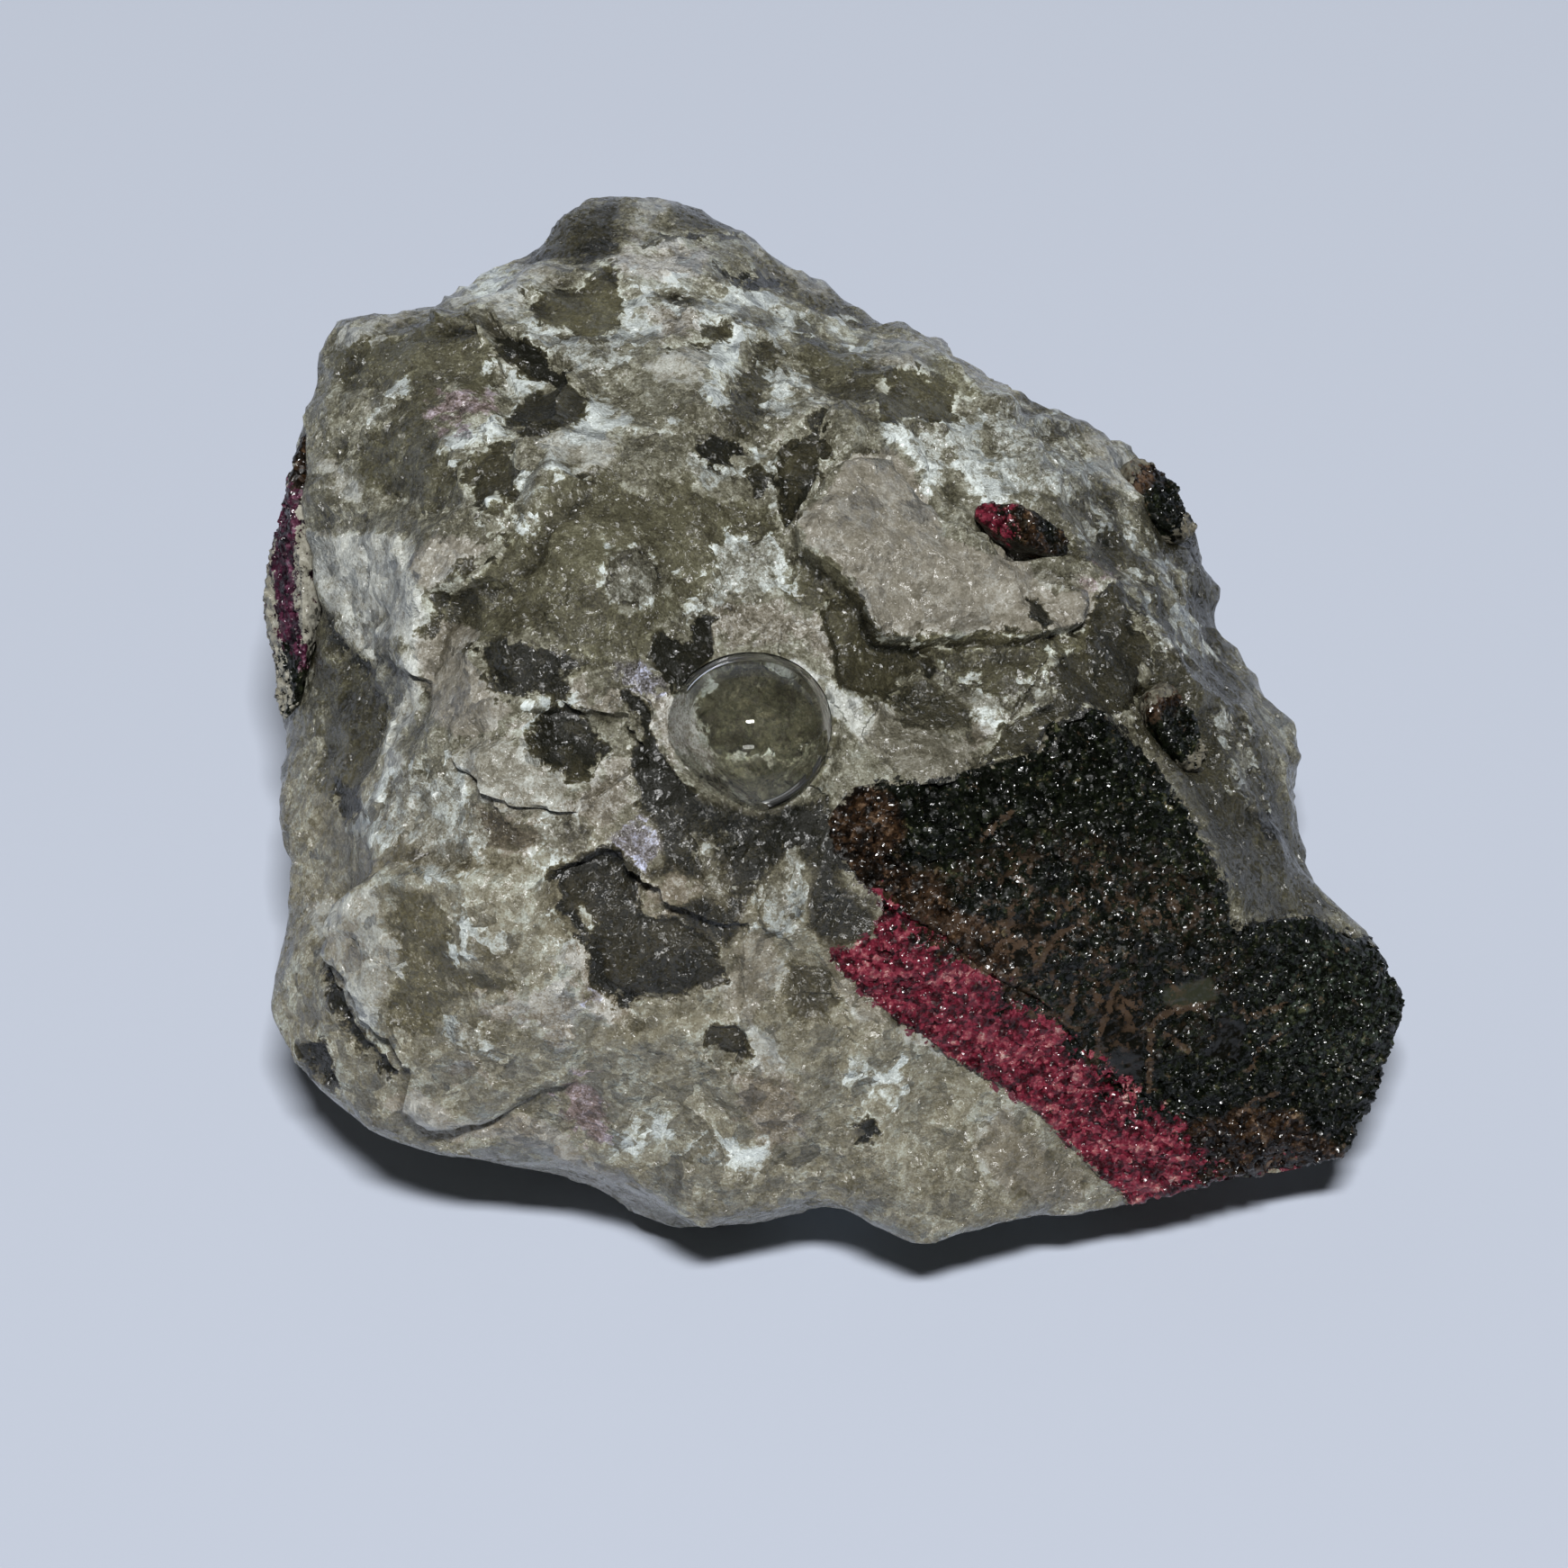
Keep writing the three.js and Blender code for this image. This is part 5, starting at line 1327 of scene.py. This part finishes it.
@dataclass(frozen=True)
class Flank:
    """A side of the lump that broke in long ridges.

    Attributes:
        start: A place on its upper side.
        run: The way that its ridges run, a unit vector.
        full: Distance from the upper side at which the ridges stand in full.
        fade: Distances between which they end.
        ridges: Spacings of the coarse and of the fine ridges.
        depth: How deep the grooves between them are.
        wander: How far the ridges wander.
    """

    start: Place = (18.0, 21.0)
    run: Place = (0.555, -0.832)
    full: float = 3.0
    fade: Place = (13.0, 17.0)
    ridges: Place = (1.9, 0.83)
    depth: float = 0.35
    wander: float = 0.5

    def height(self, points: np.ndarray, places: np.ndarray) -> np.ndarray:
        """The ridges' height at each point.

        Args:
            points: Points on the lump's form.
            places: Where they are seen.

        Returns:
            One height per point.
        """
        across = (places - self.start) @ np.array([-self.run[1], self.run[0]])
        across += self.wander * noise(points, 5.0, 151)
        on = smooth(across, 0.0, self.full) * (1 - smooth(across, *self.fade))
        coarse, fine = (np.abs(np.sin(across * math.pi / ridge)) for ridge in self.ridges)
        return on * self.depth * (0.8 - (coarse + 0.6 * fine))


@dataclass
class QuartzMatrix:
    """The lump of quartz, as a fine shell round its core.

    Attributes:
        rows: Fineness of the shell.
        crowding: How far the shell's triangles crowd towards the eye.
        form_passes: Smoothing passes that take the solid's facets off.
        corners: How far its corners are drawn out, to make up for the smoothing.
        edge: Half the width of a ledge's step.
        drawn_rise: Height of a broken ledge as a share of the solid's straight one.
        ragged: How far the edges of the ledges wander.
        coarse: The large break.
        middling: The break on it.
        small: The finest break.
        blocks: Sizes of the large and of the small flat flakes, and how far they stand out or in.
        flank: The side that broke in ridges.
        seat: How far the quartz rises round the drop's underside.
        seat_reach: How far from the drop's middle it does so.
        sight_gap: How far outside the solids the lines of sight start.
        pocket_depth: How deep the crystals' pocket has to be for the quartz to be its floor.
        pocket_inset: How far inside the crystals' outline it has to lie.
        pocket_facing: How far round the lump it goes, as the least that it faces the eye.
        bulges: Smoothing passes that a ridge or crevice has to outlast, and those it must not.
        name: The piece's name.
        node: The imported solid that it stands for.
        outer_nodes: The solids whose outer side is the specimen's face.
        finish: What it is dressed in.
    """

    rows: int = 97
    crowding: float = 0.42
    form_passes: int = 16
    corners: float = 0.65
    edge: float = 0.24
    drawn_rise: float = 0.75
    ragged: float = 0.5
    coarse: Break = Break(7.5, 1.275, 0.9, 101)
    middling: Break = Break(3.4, 0.715, 0.9, 111)
    small: Break = Break(1.7, 0.26, 0.8, 121)
    blocks: tuple[Place, Place] = ((4.6, 0.5), (2.1, 0.24))
    flank: Flank = Flank()
    seat: float = 0.5
    seat_reach: float = 7.6
    sight_gap: float = 1.5
    pocket_depth: float = 2.0
    pocket_inset: float = 0.25
    pocket_facing: float = -0.45
    bulges: tuple[int, int] = (2, 14)
    name: str = "quartz_lump"
    node: str = "quartz_matrix"
    outer_nodes: tuple[str, ...] = ("quartz_matrix", "black_crystals", "pink_lepidolite")
    finish: QuartzFinish = QuartzFinish()

    def build(self) -> bpy.types.Object:
        """Builds, dresses and mounts the piece."""
        directions, triangles = geodesic(self.rows)
        directions = directions + self.crowding * SIGHT.to_eye
        directions /= np.linalg.norm(directions, axis=1, keepdims=True)
        web = Web(len(directions), triangles)
        core = np.array(SIGHT.core)
        facing = directions @ SIGHT.to_eye
        outer = self.reach(directions, self.outer_nodes)
        outer = web.spread(web.spread(outer, np.maximum, 2), np.minimum, 2)
        seen = web.softened(self.seen(core + directions * (outer + self.sight_gap)[:, None]), 3)
        form = self.form(web, directions, outer, facing)
        steps = self.ledge_steps(directions, form, facing, drawn=True)
        points = core + directions * form[:, None]
        places = SIGHT.places(core + directions * (form + steps)[:, None])
        fields = self.patch_fields(points, places, seen)
        relief = steps + self.relief(points, places, facing, fields)
        own = self.reach(directions, (self.node,))
        in_pocket = (inside_by(ZONE, places) > self.pocket_inset) & (facing > self.pocket_facing)
        in_pocket &= own < outer - self.pocket_depth
        radii = np.where(in_pocket, own, form + relief)
        points = core + directions * radii[:, None]
        points[:, 2] = np.maximum(points[:, 2], 0.0)
        fine = np.where(in_pocket, 0.0, relief)
        # ridges and crevices of the fine relief; the finish paints shade into the crevices
        bulge = web.softened(fine, self.bulges[0]) - web.softened(fine, self.bulges[1])
        fields["ridge"] = np.clip(bulge, 0, 1)
        fields["crevice"] = np.clip(-bulge, 0, 1)
        piece = mesh_object(self.name, points, triangles, fields, sharp=38)
        piece.data.materials.append(self.finish.material())
        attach(piece, BODY)
        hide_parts(self.node)
        return piece

    def form(
        self, web: Web, directions: np.ndarray, outer: np.ndarray, facing: np.ndarray
    ) -> np.ndarray:
        """The lump's smooth form, without the ledges and the facets of the solids.

        Args:
            web: The shell's web.
            directions: Unit directions from the core.
            outer: How far out the solids reach along them.
            facing: How much each direction faces the eye.

        Returns:
            One distance per direction.
        """
        bare = outer
        for _ in range(3):
            bare = outer - self.ledge_steps(directions, bare, facing, drawn=False)
        return web.softened(bare + self.corners * (bare - web.softened(bare, 70)), self.form_passes)

    def reach(self, directions: np.ndarray, nodes: Sequence[str]) -> np.ndarray:
        """How far out the outermost surface of some solids lies along each direction.

        Args:
            directions: Unit directions from the core.
            nodes: The solids' names.

        Returns:
            One distance per direction.
        """
        tree = tree_of(nodes)
        core = Vector(SIGHT.core)
        outside = 90.0
        found = np.zeros(len(directions))
        for i, d in enumerate(directions):
            way = Vector(d)
            hit = tree.ray_cast(core + way * outside, -way)
            found[i] = outside - hit[3]
        return found

    def seen(self, points: np.ndarray) -> np.ndarray:
        """Finds the points with a free line to the eye.

        Args:
            points: Points just outside the solids.

        Returns:
            1 for each point that is seen, 0 for the others.
        """
        tree = tree_of(self.outer_nodes)
        eye = Vector(np.array(SIGHT.core) + SIGHT.to_eye * SIGHT.eye_distance)
        shown = np.zeros(len(points))
        for i, point in enumerate(points):
            start = Vector(point)
            shown[i] = tree.ray_cast(start, eye - start)[0] is None
        return shown

    def ledge_steps(
        self, directions: np.ndarray, reach: np.ndarray, facing: np.ndarray, drawn: bool
    ) -> np.ndarray:
        """Height of the ledges along each direction.

        Args:
            directions: Unit directions from the core.
            reach: How far out the surface without ledges lies along them.
            facing: How much each direction faces the eye.
            drawn: Whether to draw them ragged, where their upper edge is seen, or as in the solid.

        Returns:
            One height per direction.
        """
        core = np.array(SIGHT.core)
        total = np.zeros(len(directions))
        for ledge in LEDGES:
            rise = ledge.rise * (self.drawn_rise if drawn else 1.0)
            top = reach + rise * drawn
            places = SIGHT.places(core + directions * top[:, None])
            if drawn:
                flat = np.column_stack([places, np.zeros(len(places))])
                drift = np.stack([layered(flat, 3.0, 3, salt) for salt in (31, 41)], axis=1)
                places = places + self.ragged * drift
            inside = inside_by((*ledge.edge, *ledge.back), places)
            melted = np.exp(-distance_to_line(ledge.edge, places) / ledge.melt)
            total += rise * melted * smooth(inside, -self.edge, self.edge)
        return total * smooth(facing, -0.1, 0.1)

    def patch_fields(
        self, points: np.ndarray, places: np.ndarray, seen: np.ndarray
    ) -> Fields:
        """How far inside each kind of quartz every point lies.

        Args:
            points: Points on the lump's form.
            places: Where they are seen.
            seen: Whether each point shows from the eye, from 0 to 1.

        Returns:
            A field for each kind, and what else the relief and the finish go by.
        """
        hidden = 1 - smooth(seen, 0.0, 0.25)
        seen = seen > 0.1
        fields = {kind.value: np.full(len(points), FAR_OUTSIDE) for kind in Quartz}
        sink = np.zeros(len(points))
        tone = np.zeros(len(points))
        for patch in PATCHES:
            inside = np.where(seen, inside_by(patch.outline, places), FAR_OUTSIDE)
            inside = np.clip(inside, FAR_OUTSIDE, -FAR_OUTSIDE)
            for kind in Quartz:
                own = fields[kind.value]
                covered = np.maximum(own, inside) if kind is patch.kind else np.minimum(own, -inside)
                fields[kind.value] = covered
            sink += (patch.sink - sink) * smooth(inside, -0.2, 0.25)
            tone += (patch.tone - tone) * smooth(inside, -0.4, 0.1)
        for kind, (salt, level) in HIDDEN_DRIFTS.items():
            drift = (layered(points, 9.0, 3, salt) - level) * 7 * hidden + FAR_OUTSIDE * (1 - hidden)
            fields[kind.value] = np.maximum(fields[kind.value], np.clip(drift, FAR_OUTSIDE, -FAR_OUTSIDE))
        zone = np.maximum(inside_by(ZONE, places), 1.5 * inside_by(STRAY_GRAINS, places))
        return fields | {
            "sink": sink,
            "tone": tone,
            "zone": np.where(seen, np.clip(zone, FAR_OUTSIDE, 0.3), FAR_OUTSIDE),
            "pinkness": 1 - smooth(distance_to_line(BAND_FOOT, places), 3.0, 7.0),
            "foot": 1 - smooth(places[:, 1] + 0.25 * places[:, 0], -20.0, -8.0),
        }

    def relief(
        self, points: np.ndarray, places: np.ndarray, facing: np.ndarray, fields: Fields
    ) -> np.ndarray:
        """Everything that stands out from or is sunk into the lump's smooth form.

        Args:
            points: Points on the form.
            places: Where they are seen.
            facing: How much each point's direction faces the eye.
            fields: The kinds of quartz, which also set how rough it is.

        Returns:
            One height per point.
        """
        even = 1 - 0.35 * fields["foot"]
        frost, tan, plate, deep = (
            fields[kind.value] for kind in (Quartz.FROST, Quartz.TAN, Quartz.PLATE, Quartz.DEEP))
        rough = 1 + 0.9 * smooth(np.maximum(frost, tan), -0.5, 0.5)
        calm = even - 0.65 * smooth(np.maximum(plate, deep), 0, 1.5)
        warped = points + 0.7 * np.stack([noise(points, 2.6, salt) for salt in (161, 162, 163)], axis=1)
        height = calm * self.coarse.height(warped) - fields["sink"]
        height += calm * even * (self.middling.height(warped) + rough * self.small.height(warped))
        (large_size, large_rise), (small_size, small_rise) = self.blocks
        large = cells_of(warped, large_size, 131)
        small = cells_of(warped, small_size, 136)
        height += calm * large_rise * (large.chance[:, 0] - 0.5)
        height += calm * rough * small_rise * (small.chance[:, 0] - 0.5)
        fields["flake"] = 0.6 * large.chance[:, 1] + 0.4 * small.chance[:, 1]
        height += 0.05 * rough * calm * layered(points, 1.0, 2, 141)
        height += self.flank.height(points, places)
        low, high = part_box(Drop.node)
        seat = SIGHT.places(np.array([(low + high) / 2]) / MM)[0]
        within = self.seat_reach - np.hypot(*(places - seat).T)
        return height + self.seat * smooth(within, 0.0, 1.4) * smooth(facing, 0, 0.2)


@dataclass
class CrystalMass:
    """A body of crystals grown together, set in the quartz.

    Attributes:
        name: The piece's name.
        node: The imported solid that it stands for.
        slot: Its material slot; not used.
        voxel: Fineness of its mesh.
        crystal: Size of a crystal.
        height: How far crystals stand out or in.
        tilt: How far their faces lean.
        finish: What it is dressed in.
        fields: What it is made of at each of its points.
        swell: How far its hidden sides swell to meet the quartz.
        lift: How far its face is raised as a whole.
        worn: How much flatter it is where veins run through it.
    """

    name: str
    node: str
    slot: str
    voxel: float
    crystal: float
    height: float
    tilt: float
    finish: CrystalFinish
    fields: Callable[[np.ndarray], Fields]
    swell: float = 0.2
    lift: float = 0.05
    worn: float = 0.5

    def build(self) -> bpy.types.Object:
        """Builds, dresses and mounts the piece."""
        points, faces = remeshed(self.node, self.voxel)
        web = Web(len(points), faces)
        for axis in range(3):
            points[:, axis] = web.softened(points[:, axis], 3)
        normals = normals_of(points, faces)
        outward = points - np.array(SIGHT.core)
        outward /= np.linalg.norm(outward, axis=1, keepdims=True)
        shows = smooth(np.sum(normals * outward, axis=1), 0.25, 0.6)
        cells = cells_of(points, self.crystal, 201)
        fine = cells_of(points, self.crystal * 0.5, 221)
        fields = self.fields(points)
        height = self.lift + self.height * (2 * cells.chance[:, 0] - 1)
        height += np.sum((cells.chance - 0.5) * cells.offset, axis=1) * 2 * self.tilt * self.crystal
        height += self.height * 0.5 * (2 * fine.chance[:, 1] - 1)
        height += np.sum((fine.chance - 0.5) * fine.offset, axis=1) * self.tilt * self.crystal
        height -= self.height * 0.5 * (1 - smooth(cells.next - cells.near, 0.0, 0.12))
        height *= 1 - 0.8 * fields.get("panel", 0.0)
        height *= 1 - self.worn * np.clip(fields.get("veins", 0.0), 0, 1)
        moved = points + normals * (self.swell * (1 - shows) + shows * height)[:, None]
        piece = mesh_object(self.name, moved, faces, fields, sharp=40)
        piece.data.materials.append(self.finish.material())
        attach(piece, BODY)
        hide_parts(self.node)
        return piece


BAND_FOOT = line_of("-0.6,-19.2 1.1,-21.1 12.5,-29 21,-36.6 27,-37.6 34,-37.6")

DARK_PANELS = (
    line_of("20.6,-22 24,-21.8 24,-28.6 22.4,-29 20.8,-27.4 20.2,-24.6"),
    line_of("13.4,-16 16.4,-15.4 15.6,-19.6 13.2,-20.6"),
    line_of("30,-23.4 32,-24.4 31.6,-27.6 28.4,-27"),
)
PALE_PANELS = (line_of("25.3,-21.6 29.2,-20.6 30,-22.6 26.6,-23.4 25.3,-23"),)
STREAKS = (
    line_of("21.9,-21.4 20.5,-25 20.1,-28.4"),
    line_of("24.5,-25.2 24.4,-29.6"),
    line_of("24.4,-25 25.2,-23.8 26.5,-23.3 28.4,-23.1"),
    line_of("25.5,-25.2 27.4,-26.4"),
    line_of("30.9,-22.8 32,-24 34.8,-22.9"),
    line_of("31,-31.4 32.6,-30.4 34.2,-29.6"),
    line_of("15.4,-20.6 16.8,-18 19.4,-16.2"),
    line_of("18.7,-21.4 18,-24"),
    line_of("32.2,-28 33,-26.4 34.6,-25.2"),
    line_of("11.4,-10.2 12.2,-9 13.6,-8.1"),
)


def near(place: Place, reach: Place, places: np.ndarray) -> np.ndarray:
    """1 in the middle of an oval, falling to 0 at its rim.

    Args:
        place: The oval's middle on the sight plane.
        reach: Its half sizes across and up.
        places: Across and up, one row per point.

    Returns:
        One share per point.
    """
    away = (places - place) / reach
    return 1 - smooth(np.hypot(away[:, 0], away[:, 1]), 0.4, 1.0)


def zone_fields(points: np.ndarray) -> Fields:
    """What the crystal zone is made of at each point.

    Args:
        points: Points of a crystal body.

    Returns:
        Shares from 0 to 1 of pink grains, of veins, of brown and of grey.
    """
    places = SIGHT.places(points)
    above_foot = distance_to_line(BAND_FOOT, places)
    pink = 1.1 - 1.5 * smooth(above_foot, 3.2, 9.5)
    pink += 0.25 * near((3.4, -15.4), (3.2, 2.6), places)
    pink -= 1.1 * smooth(places[:, 0], 24.0, 33.0)
    panel = np.max([inside_by(outline, places) for outline in DARK_PANELS + PALE_PANELS], axis=0)
    pale_panel = np.max([inside_by(outline, places) for outline in PALE_PANELS], axis=0)
    streak = np.min([distance_to_line(line, places) for line in STREAKS], axis=0)
    red_brown = (1 - smooth(above_foot, 7, 13)) * (1 - smooth(places[:, 0], 9, 20))
    return {
        "pinkness": pink,
        "veins": near((18, -19), (16, 11), places),
        "brown": np.max([
            red_brown, near((1.8, -9), (5, 5), places), 1.2 * near((32, -36), (11, 7), places),
            0.35 * near((19, -20), (14, 9), places)], axis=0),
        "grey": near((39, -23), (8, 8), places),
        "panel": smooth(panel, -0.3, 0.5),
        "pale_panel": smooth(pale_panel, -0.2, 0.4),
        "streak": 1 - smooth(streak, 0.05, 0.5),
        "host": 0.95 - smooth(inside_by(ZONE, places), -0.3, 0.5),
    }


def rim_field(points: np.ndarray) -> Fields:
    """A black cluster with a brown crust at its upper end, sunk into the quartz at its rim.

    Args:
        points: Points of the crystal body.

    Returns:
        What it is made of, as shares from 0 to 1.
    """
    places = SIGHT.places(points)
    middle = (places.max(0) + places.min(0)) / 2
    half = (places.max(0) - places.min(0)) / 2
    local = (places - middle) / half
    out = np.linalg.norm(local, axis=1)
    crust = smooth(local[:, 1] - 0.5 * local[:, 0], 0.1, 0.8)
    return {
        "pinkness": np.full(len(points), -0.5), "brown": crust, "veins": 2 * crust,
        "host": smooth(out, 0.62, 0.95),
    }


def red_end_fields(points: np.ndarray) -> Fields:
    """A cluster that is pink at its left end."""
    low, high = points[:, 0].min(), points[:, 0].max()
    along = (points[:, 0] - low) / (high - low)
    return {"pinkness": 1.3 - 2.6 * along, "brown": np.full(len(points), 0.6)}


CRUST_LINE = line_of("-40.6,23.4 -41.3,19 -42.6,15.6 -43,12 -42.7,8 -42,4 -40.9,0.6")


def crust_fields(points: np.ndarray) -> Fields:
    """A crust that shows as a thin strip in the quartz, purple low down and dark at its ends.

    Args:
        points: Points of the crystal body.

    Returns:
        What it is made of, as shares from 0 to 1.
    """
    places = SIGHT.places(points)
    away = distance_to_line(CRUST_LINE, places)
    at_foot = near((-40.4, 0.4), (2.6, 2.6), places)
    middle = np.abs(places[:, 1] - 11.0)
    return {
        "pinkness": 1.05 - 1.1 * smooth(middle, 4.0, 9.0), "brown": smooth(places[:, 1], 12.0, 17.0),
        "host": smooth(away, 0.35, 1.1) - at_foot,
    }


@dataclass
class Drop:
    """The clear drop in the hollow.

    Attributes:
        node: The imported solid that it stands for.
        name: The piece's name.
        rings: Rings of faces from its top to its bottom.
        spokes: Faces round it.
        radius: Its radius.
        half_height: Half its height.
        brim: How far its upper side flattens towards the rim; 1 gives an ellipsoid.
        finish: What it is dressed in.
    """

    node: str = "clear_drop"
    name: str = "drop"
    rings: int = 48
    spokes: int = 96
    radius: float = 6.0
    half_height: float = 2.7
    brim: float = 2.6
    finish: ClearFinish = ClearFinish()

    def build(self) -> bpy.types.Object:
        """Builds, dresses and mounts the piece."""
        low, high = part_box(self.node)
        middle = np.array((low + high) / 2) / MM
        out = SIGHT.to_eye
        side = np.array([1.0, 0.0, 0.0])
        front = np.cross(out, side)
        rows = []
        for ring in range(1, self.rings):
            slope = math.pi * ring / self.rings
            above = math.cos(slope)
            rise = self.half_height * (above ** self.brim if above > 0 else above)
            for spoke in range(self.spokes):
                turn = 2 * math.pi * spoke / self.spokes
                wobble = 1 + 0.018 * math.sin(2 * turn + 1) + 0.014 * math.sin(3 * turn)
                flat = self.radius * math.sin(slope) * wobble
                across = side * math.cos(turn) + front * math.sin(turn)
                rows.append(middle + flat * across + out * rise)
        top, bottom = len(rows), len(rows) + 1
        rows += [middle + out * self.half_height, middle - out * self.half_height]
        faces = []
        for ring in range(self.rings - 2):
            for spoke in range(self.spokes):
                a = ring * self.spokes + spoke
                b = ring * self.spokes + (spoke + 1) % self.spokes
                faces += [(a, a + self.spokes, b + self.spokes), (a, b + self.spokes, b)]
        last = (self.rings - 2) * self.spokes
        for spoke in range(self.spokes):
            after = (spoke + 1) % self.spokes
            faces += [(top, spoke, after), (bottom, last + after, last + spoke)]
        piece = mesh_object(self.name, np.array(rows), np.array(faces), {}, sharp=180)
        piece.data.materials.append(self.finish.material())
        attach(piece, BODY)
        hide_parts(self.node)
        return piece


# ---------------------------------------------------------------- studio


@dataclass(frozen=True)
class Lamp:
    """A soft light that faces the lump.

    Attributes:
        name: The light's name.
        azimuth: Its bearing from the front, in degrees.
        elevation: Its height over the horizon, in degrees.
        distance: From the lump, in metres.
        size: Its width and height in metres.
        power: In watts.
    """

    name: str
    azimuth: float
    elevation: float
    distance: float
    size: Place
    power: float

    def build(self) -> None:
        """Hangs the light."""
        azimuth, elevation = math.radians(self.azimuth), math.radians(self.elevation)
        lamp = bpy.data.lights.new(self.name, "AREA")
        lamp.shape = "RECTANGLE"
        lamp.size, lamp.size_y = self.size
        lamp.energy = self.power
        holder = bpy.data.objects.new(self.name, lamp)
        out = Vector((
            math.sin(azimuth) * math.cos(elevation), -math.cos(azimuth) * math.cos(elevation),
            math.sin(elevation),
        ))
        holder.location = out * self.distance + Vector(SIGHT.core) * MM
        holder.rotation_euler = out.to_track_quat("Z", "Y").to_euler()
        bpy.context.scene.collection.objects.link(holder)


@dataclass
class Studio:
    """A plain floor, soft light from above the camera, and the camera.

    Attributes:
        lens: The camera's focal length in millimetres.
        slide: How far the camera stands right of and above the line of sight.
        lamps: The lights.
        room: The room's own light.
        room_strength: How bright that is.
        floor_side: Side of the square floor, in metres.
        floor_gap: How far it lies below the lump, in metres.
    """

    lens: float = 147.6
    slide: Place = (-3.92, -5.6)
    lamps: tuple[Lamp, ...] = (
        Lamp("key", 2.0, 75.0, 1.2, (0.22, 0.08), 17.6),
        Lamp("fill", -150.0, 50.0, 1.5, (1.2, 0.8), 0.6),
    )
    room: Colour = (0.95, 0.96, 0.92)
    room_strength: float = 0.034
    floor_side: float = 4.0
    floor_gap: float = 0.0001

    def build(self) -> None:
        """Builds the floor, the lights and the camera."""
        self.floor()
        for lamp in self.lamps:
            lamp.build()
        world = bpy.data.worlds.new("room")
        world.use_nodes = True
        background = world.node_tree.nodes["Background"].inputs
        background["Color"].default_value = (*self.room, 1.0)
        background["Strength"].default_value = self.room_strength
        bpy.context.scene.world = world
        bpy.context.scene.view_settings.view_transform = "Standard"
        self.camera()

    def floor(self) -> None:
        """Lays the floor just under the lump."""
        bpy.ops.mesh.primitive_plane_add(size=self.floor_side, location=(0, 0, -self.floor_gap))
        floor = bpy.context.object
        floor.name = "floor"
        floor.data.materials.append(FloorFinish().material())

    def camera(self) -> None:
        """Sets the camera on the line of sight."""
        data = bpy.data.cameras.new("camera")
        data.lens = self.lens
        data.sensor_width = 36.0
        data.clip_end = 10.0
        holder = bpy.data.objects.new("camera", data)
        aim = np.array(SIGHT.core) + SIGHT.to_eye * SIGHT.eye_distance
        aim = aim + np.array([1.0, 0, 0]) * self.slide[0] + SIGHT.up * self.slide[1]
        holder.location = Vector(aim * MM)
        holder.rotation_euler = (math.radians(90 - SIGHT.look_down), 0.0, 0.0)
        bpy.context.scene.collection.objects.link(holder)
        bpy.context.scene.camera = holder


def crystal_masses() -> list[CrystalMass]:
    """The six bodies of crystals."""
    mixed = CrystalFinish("black_and_pink_crystals")
    purple = CrystalFinish(
        "purple_crust",
        rosy=(
            (0.0, (10, 5, 9)), (0.3, (34, 14, 26)), (0.55, (62, 24, 42)), (0.75, (92, 50, 70)),
            (0.9, (128, 96, 112)), (1.0, (176, 160, 168)),
        ),
        host=((0.3, (96, 92, 78)), (0.7, (170, 168, 156))),
    )
    return [
        CrystalMass(
            name="black_mass", node="black_crystals", slot="black_crystal", voxel=0.2,
            crystal=1.0, height=0.17, tilt=0.36, finish=mixed, fields=zone_fields),
        CrystalMass(
            name="pink_band", node="pink_lepidolite", slot="pink_lepidolite", voxel=0.17,
            crystal=0.8, height=0.11, tilt=0.3, finish=mixed, fields=zone_fields),
        CrystalMass(
            name="upper_right_crystal", node="upper_right_cluster", slot="dark_cluster", voxel=0.14,
            crystal=0.9, height=0.22, tilt=0.4, finish=mixed, fields=red_end_fields, swell=0.3),
        CrystalMass(
            name="right_edge_crystal", node="right_edge_cluster", slot="dark_cluster", voxel=0.15,
            crystal=1.0, height=0.2, tilt=0.4, finish=mixed, fields=rim_field, swell=0.3),
        CrystalMass(
            name="saddle_crystal", node="saddle_cluster", slot="dark_cluster", voxel=0.14,
            crystal=0.9, height=0.2, tilt=0.4, finish=mixed, fields=rim_field, swell=0.3),
        CrystalMass(
            name="left_edge_crystal", node="left_edge_cluster", slot="pink_cluster", voxel=0.18,
            crystal=1.0, height=0.12, tilt=0.25, finish=purple, fields=crust_fields, swell=0.3,
            lift=-0.05),
    ]


def main() -> None:
    """Builds every piece in order and reports it."""
    logging.basicConfig(level=logging.INFO, format="%(message)s")
    Studio().build()
    makers = [QuartzMatrix(), *crystal_masses(), Drop()]
    for maker in makers:
        piece = maker.build()
        LOG.info("%s: %d faces", piece.name, len(piece.data.polygons))


if __name__ == "__main__":
    main()
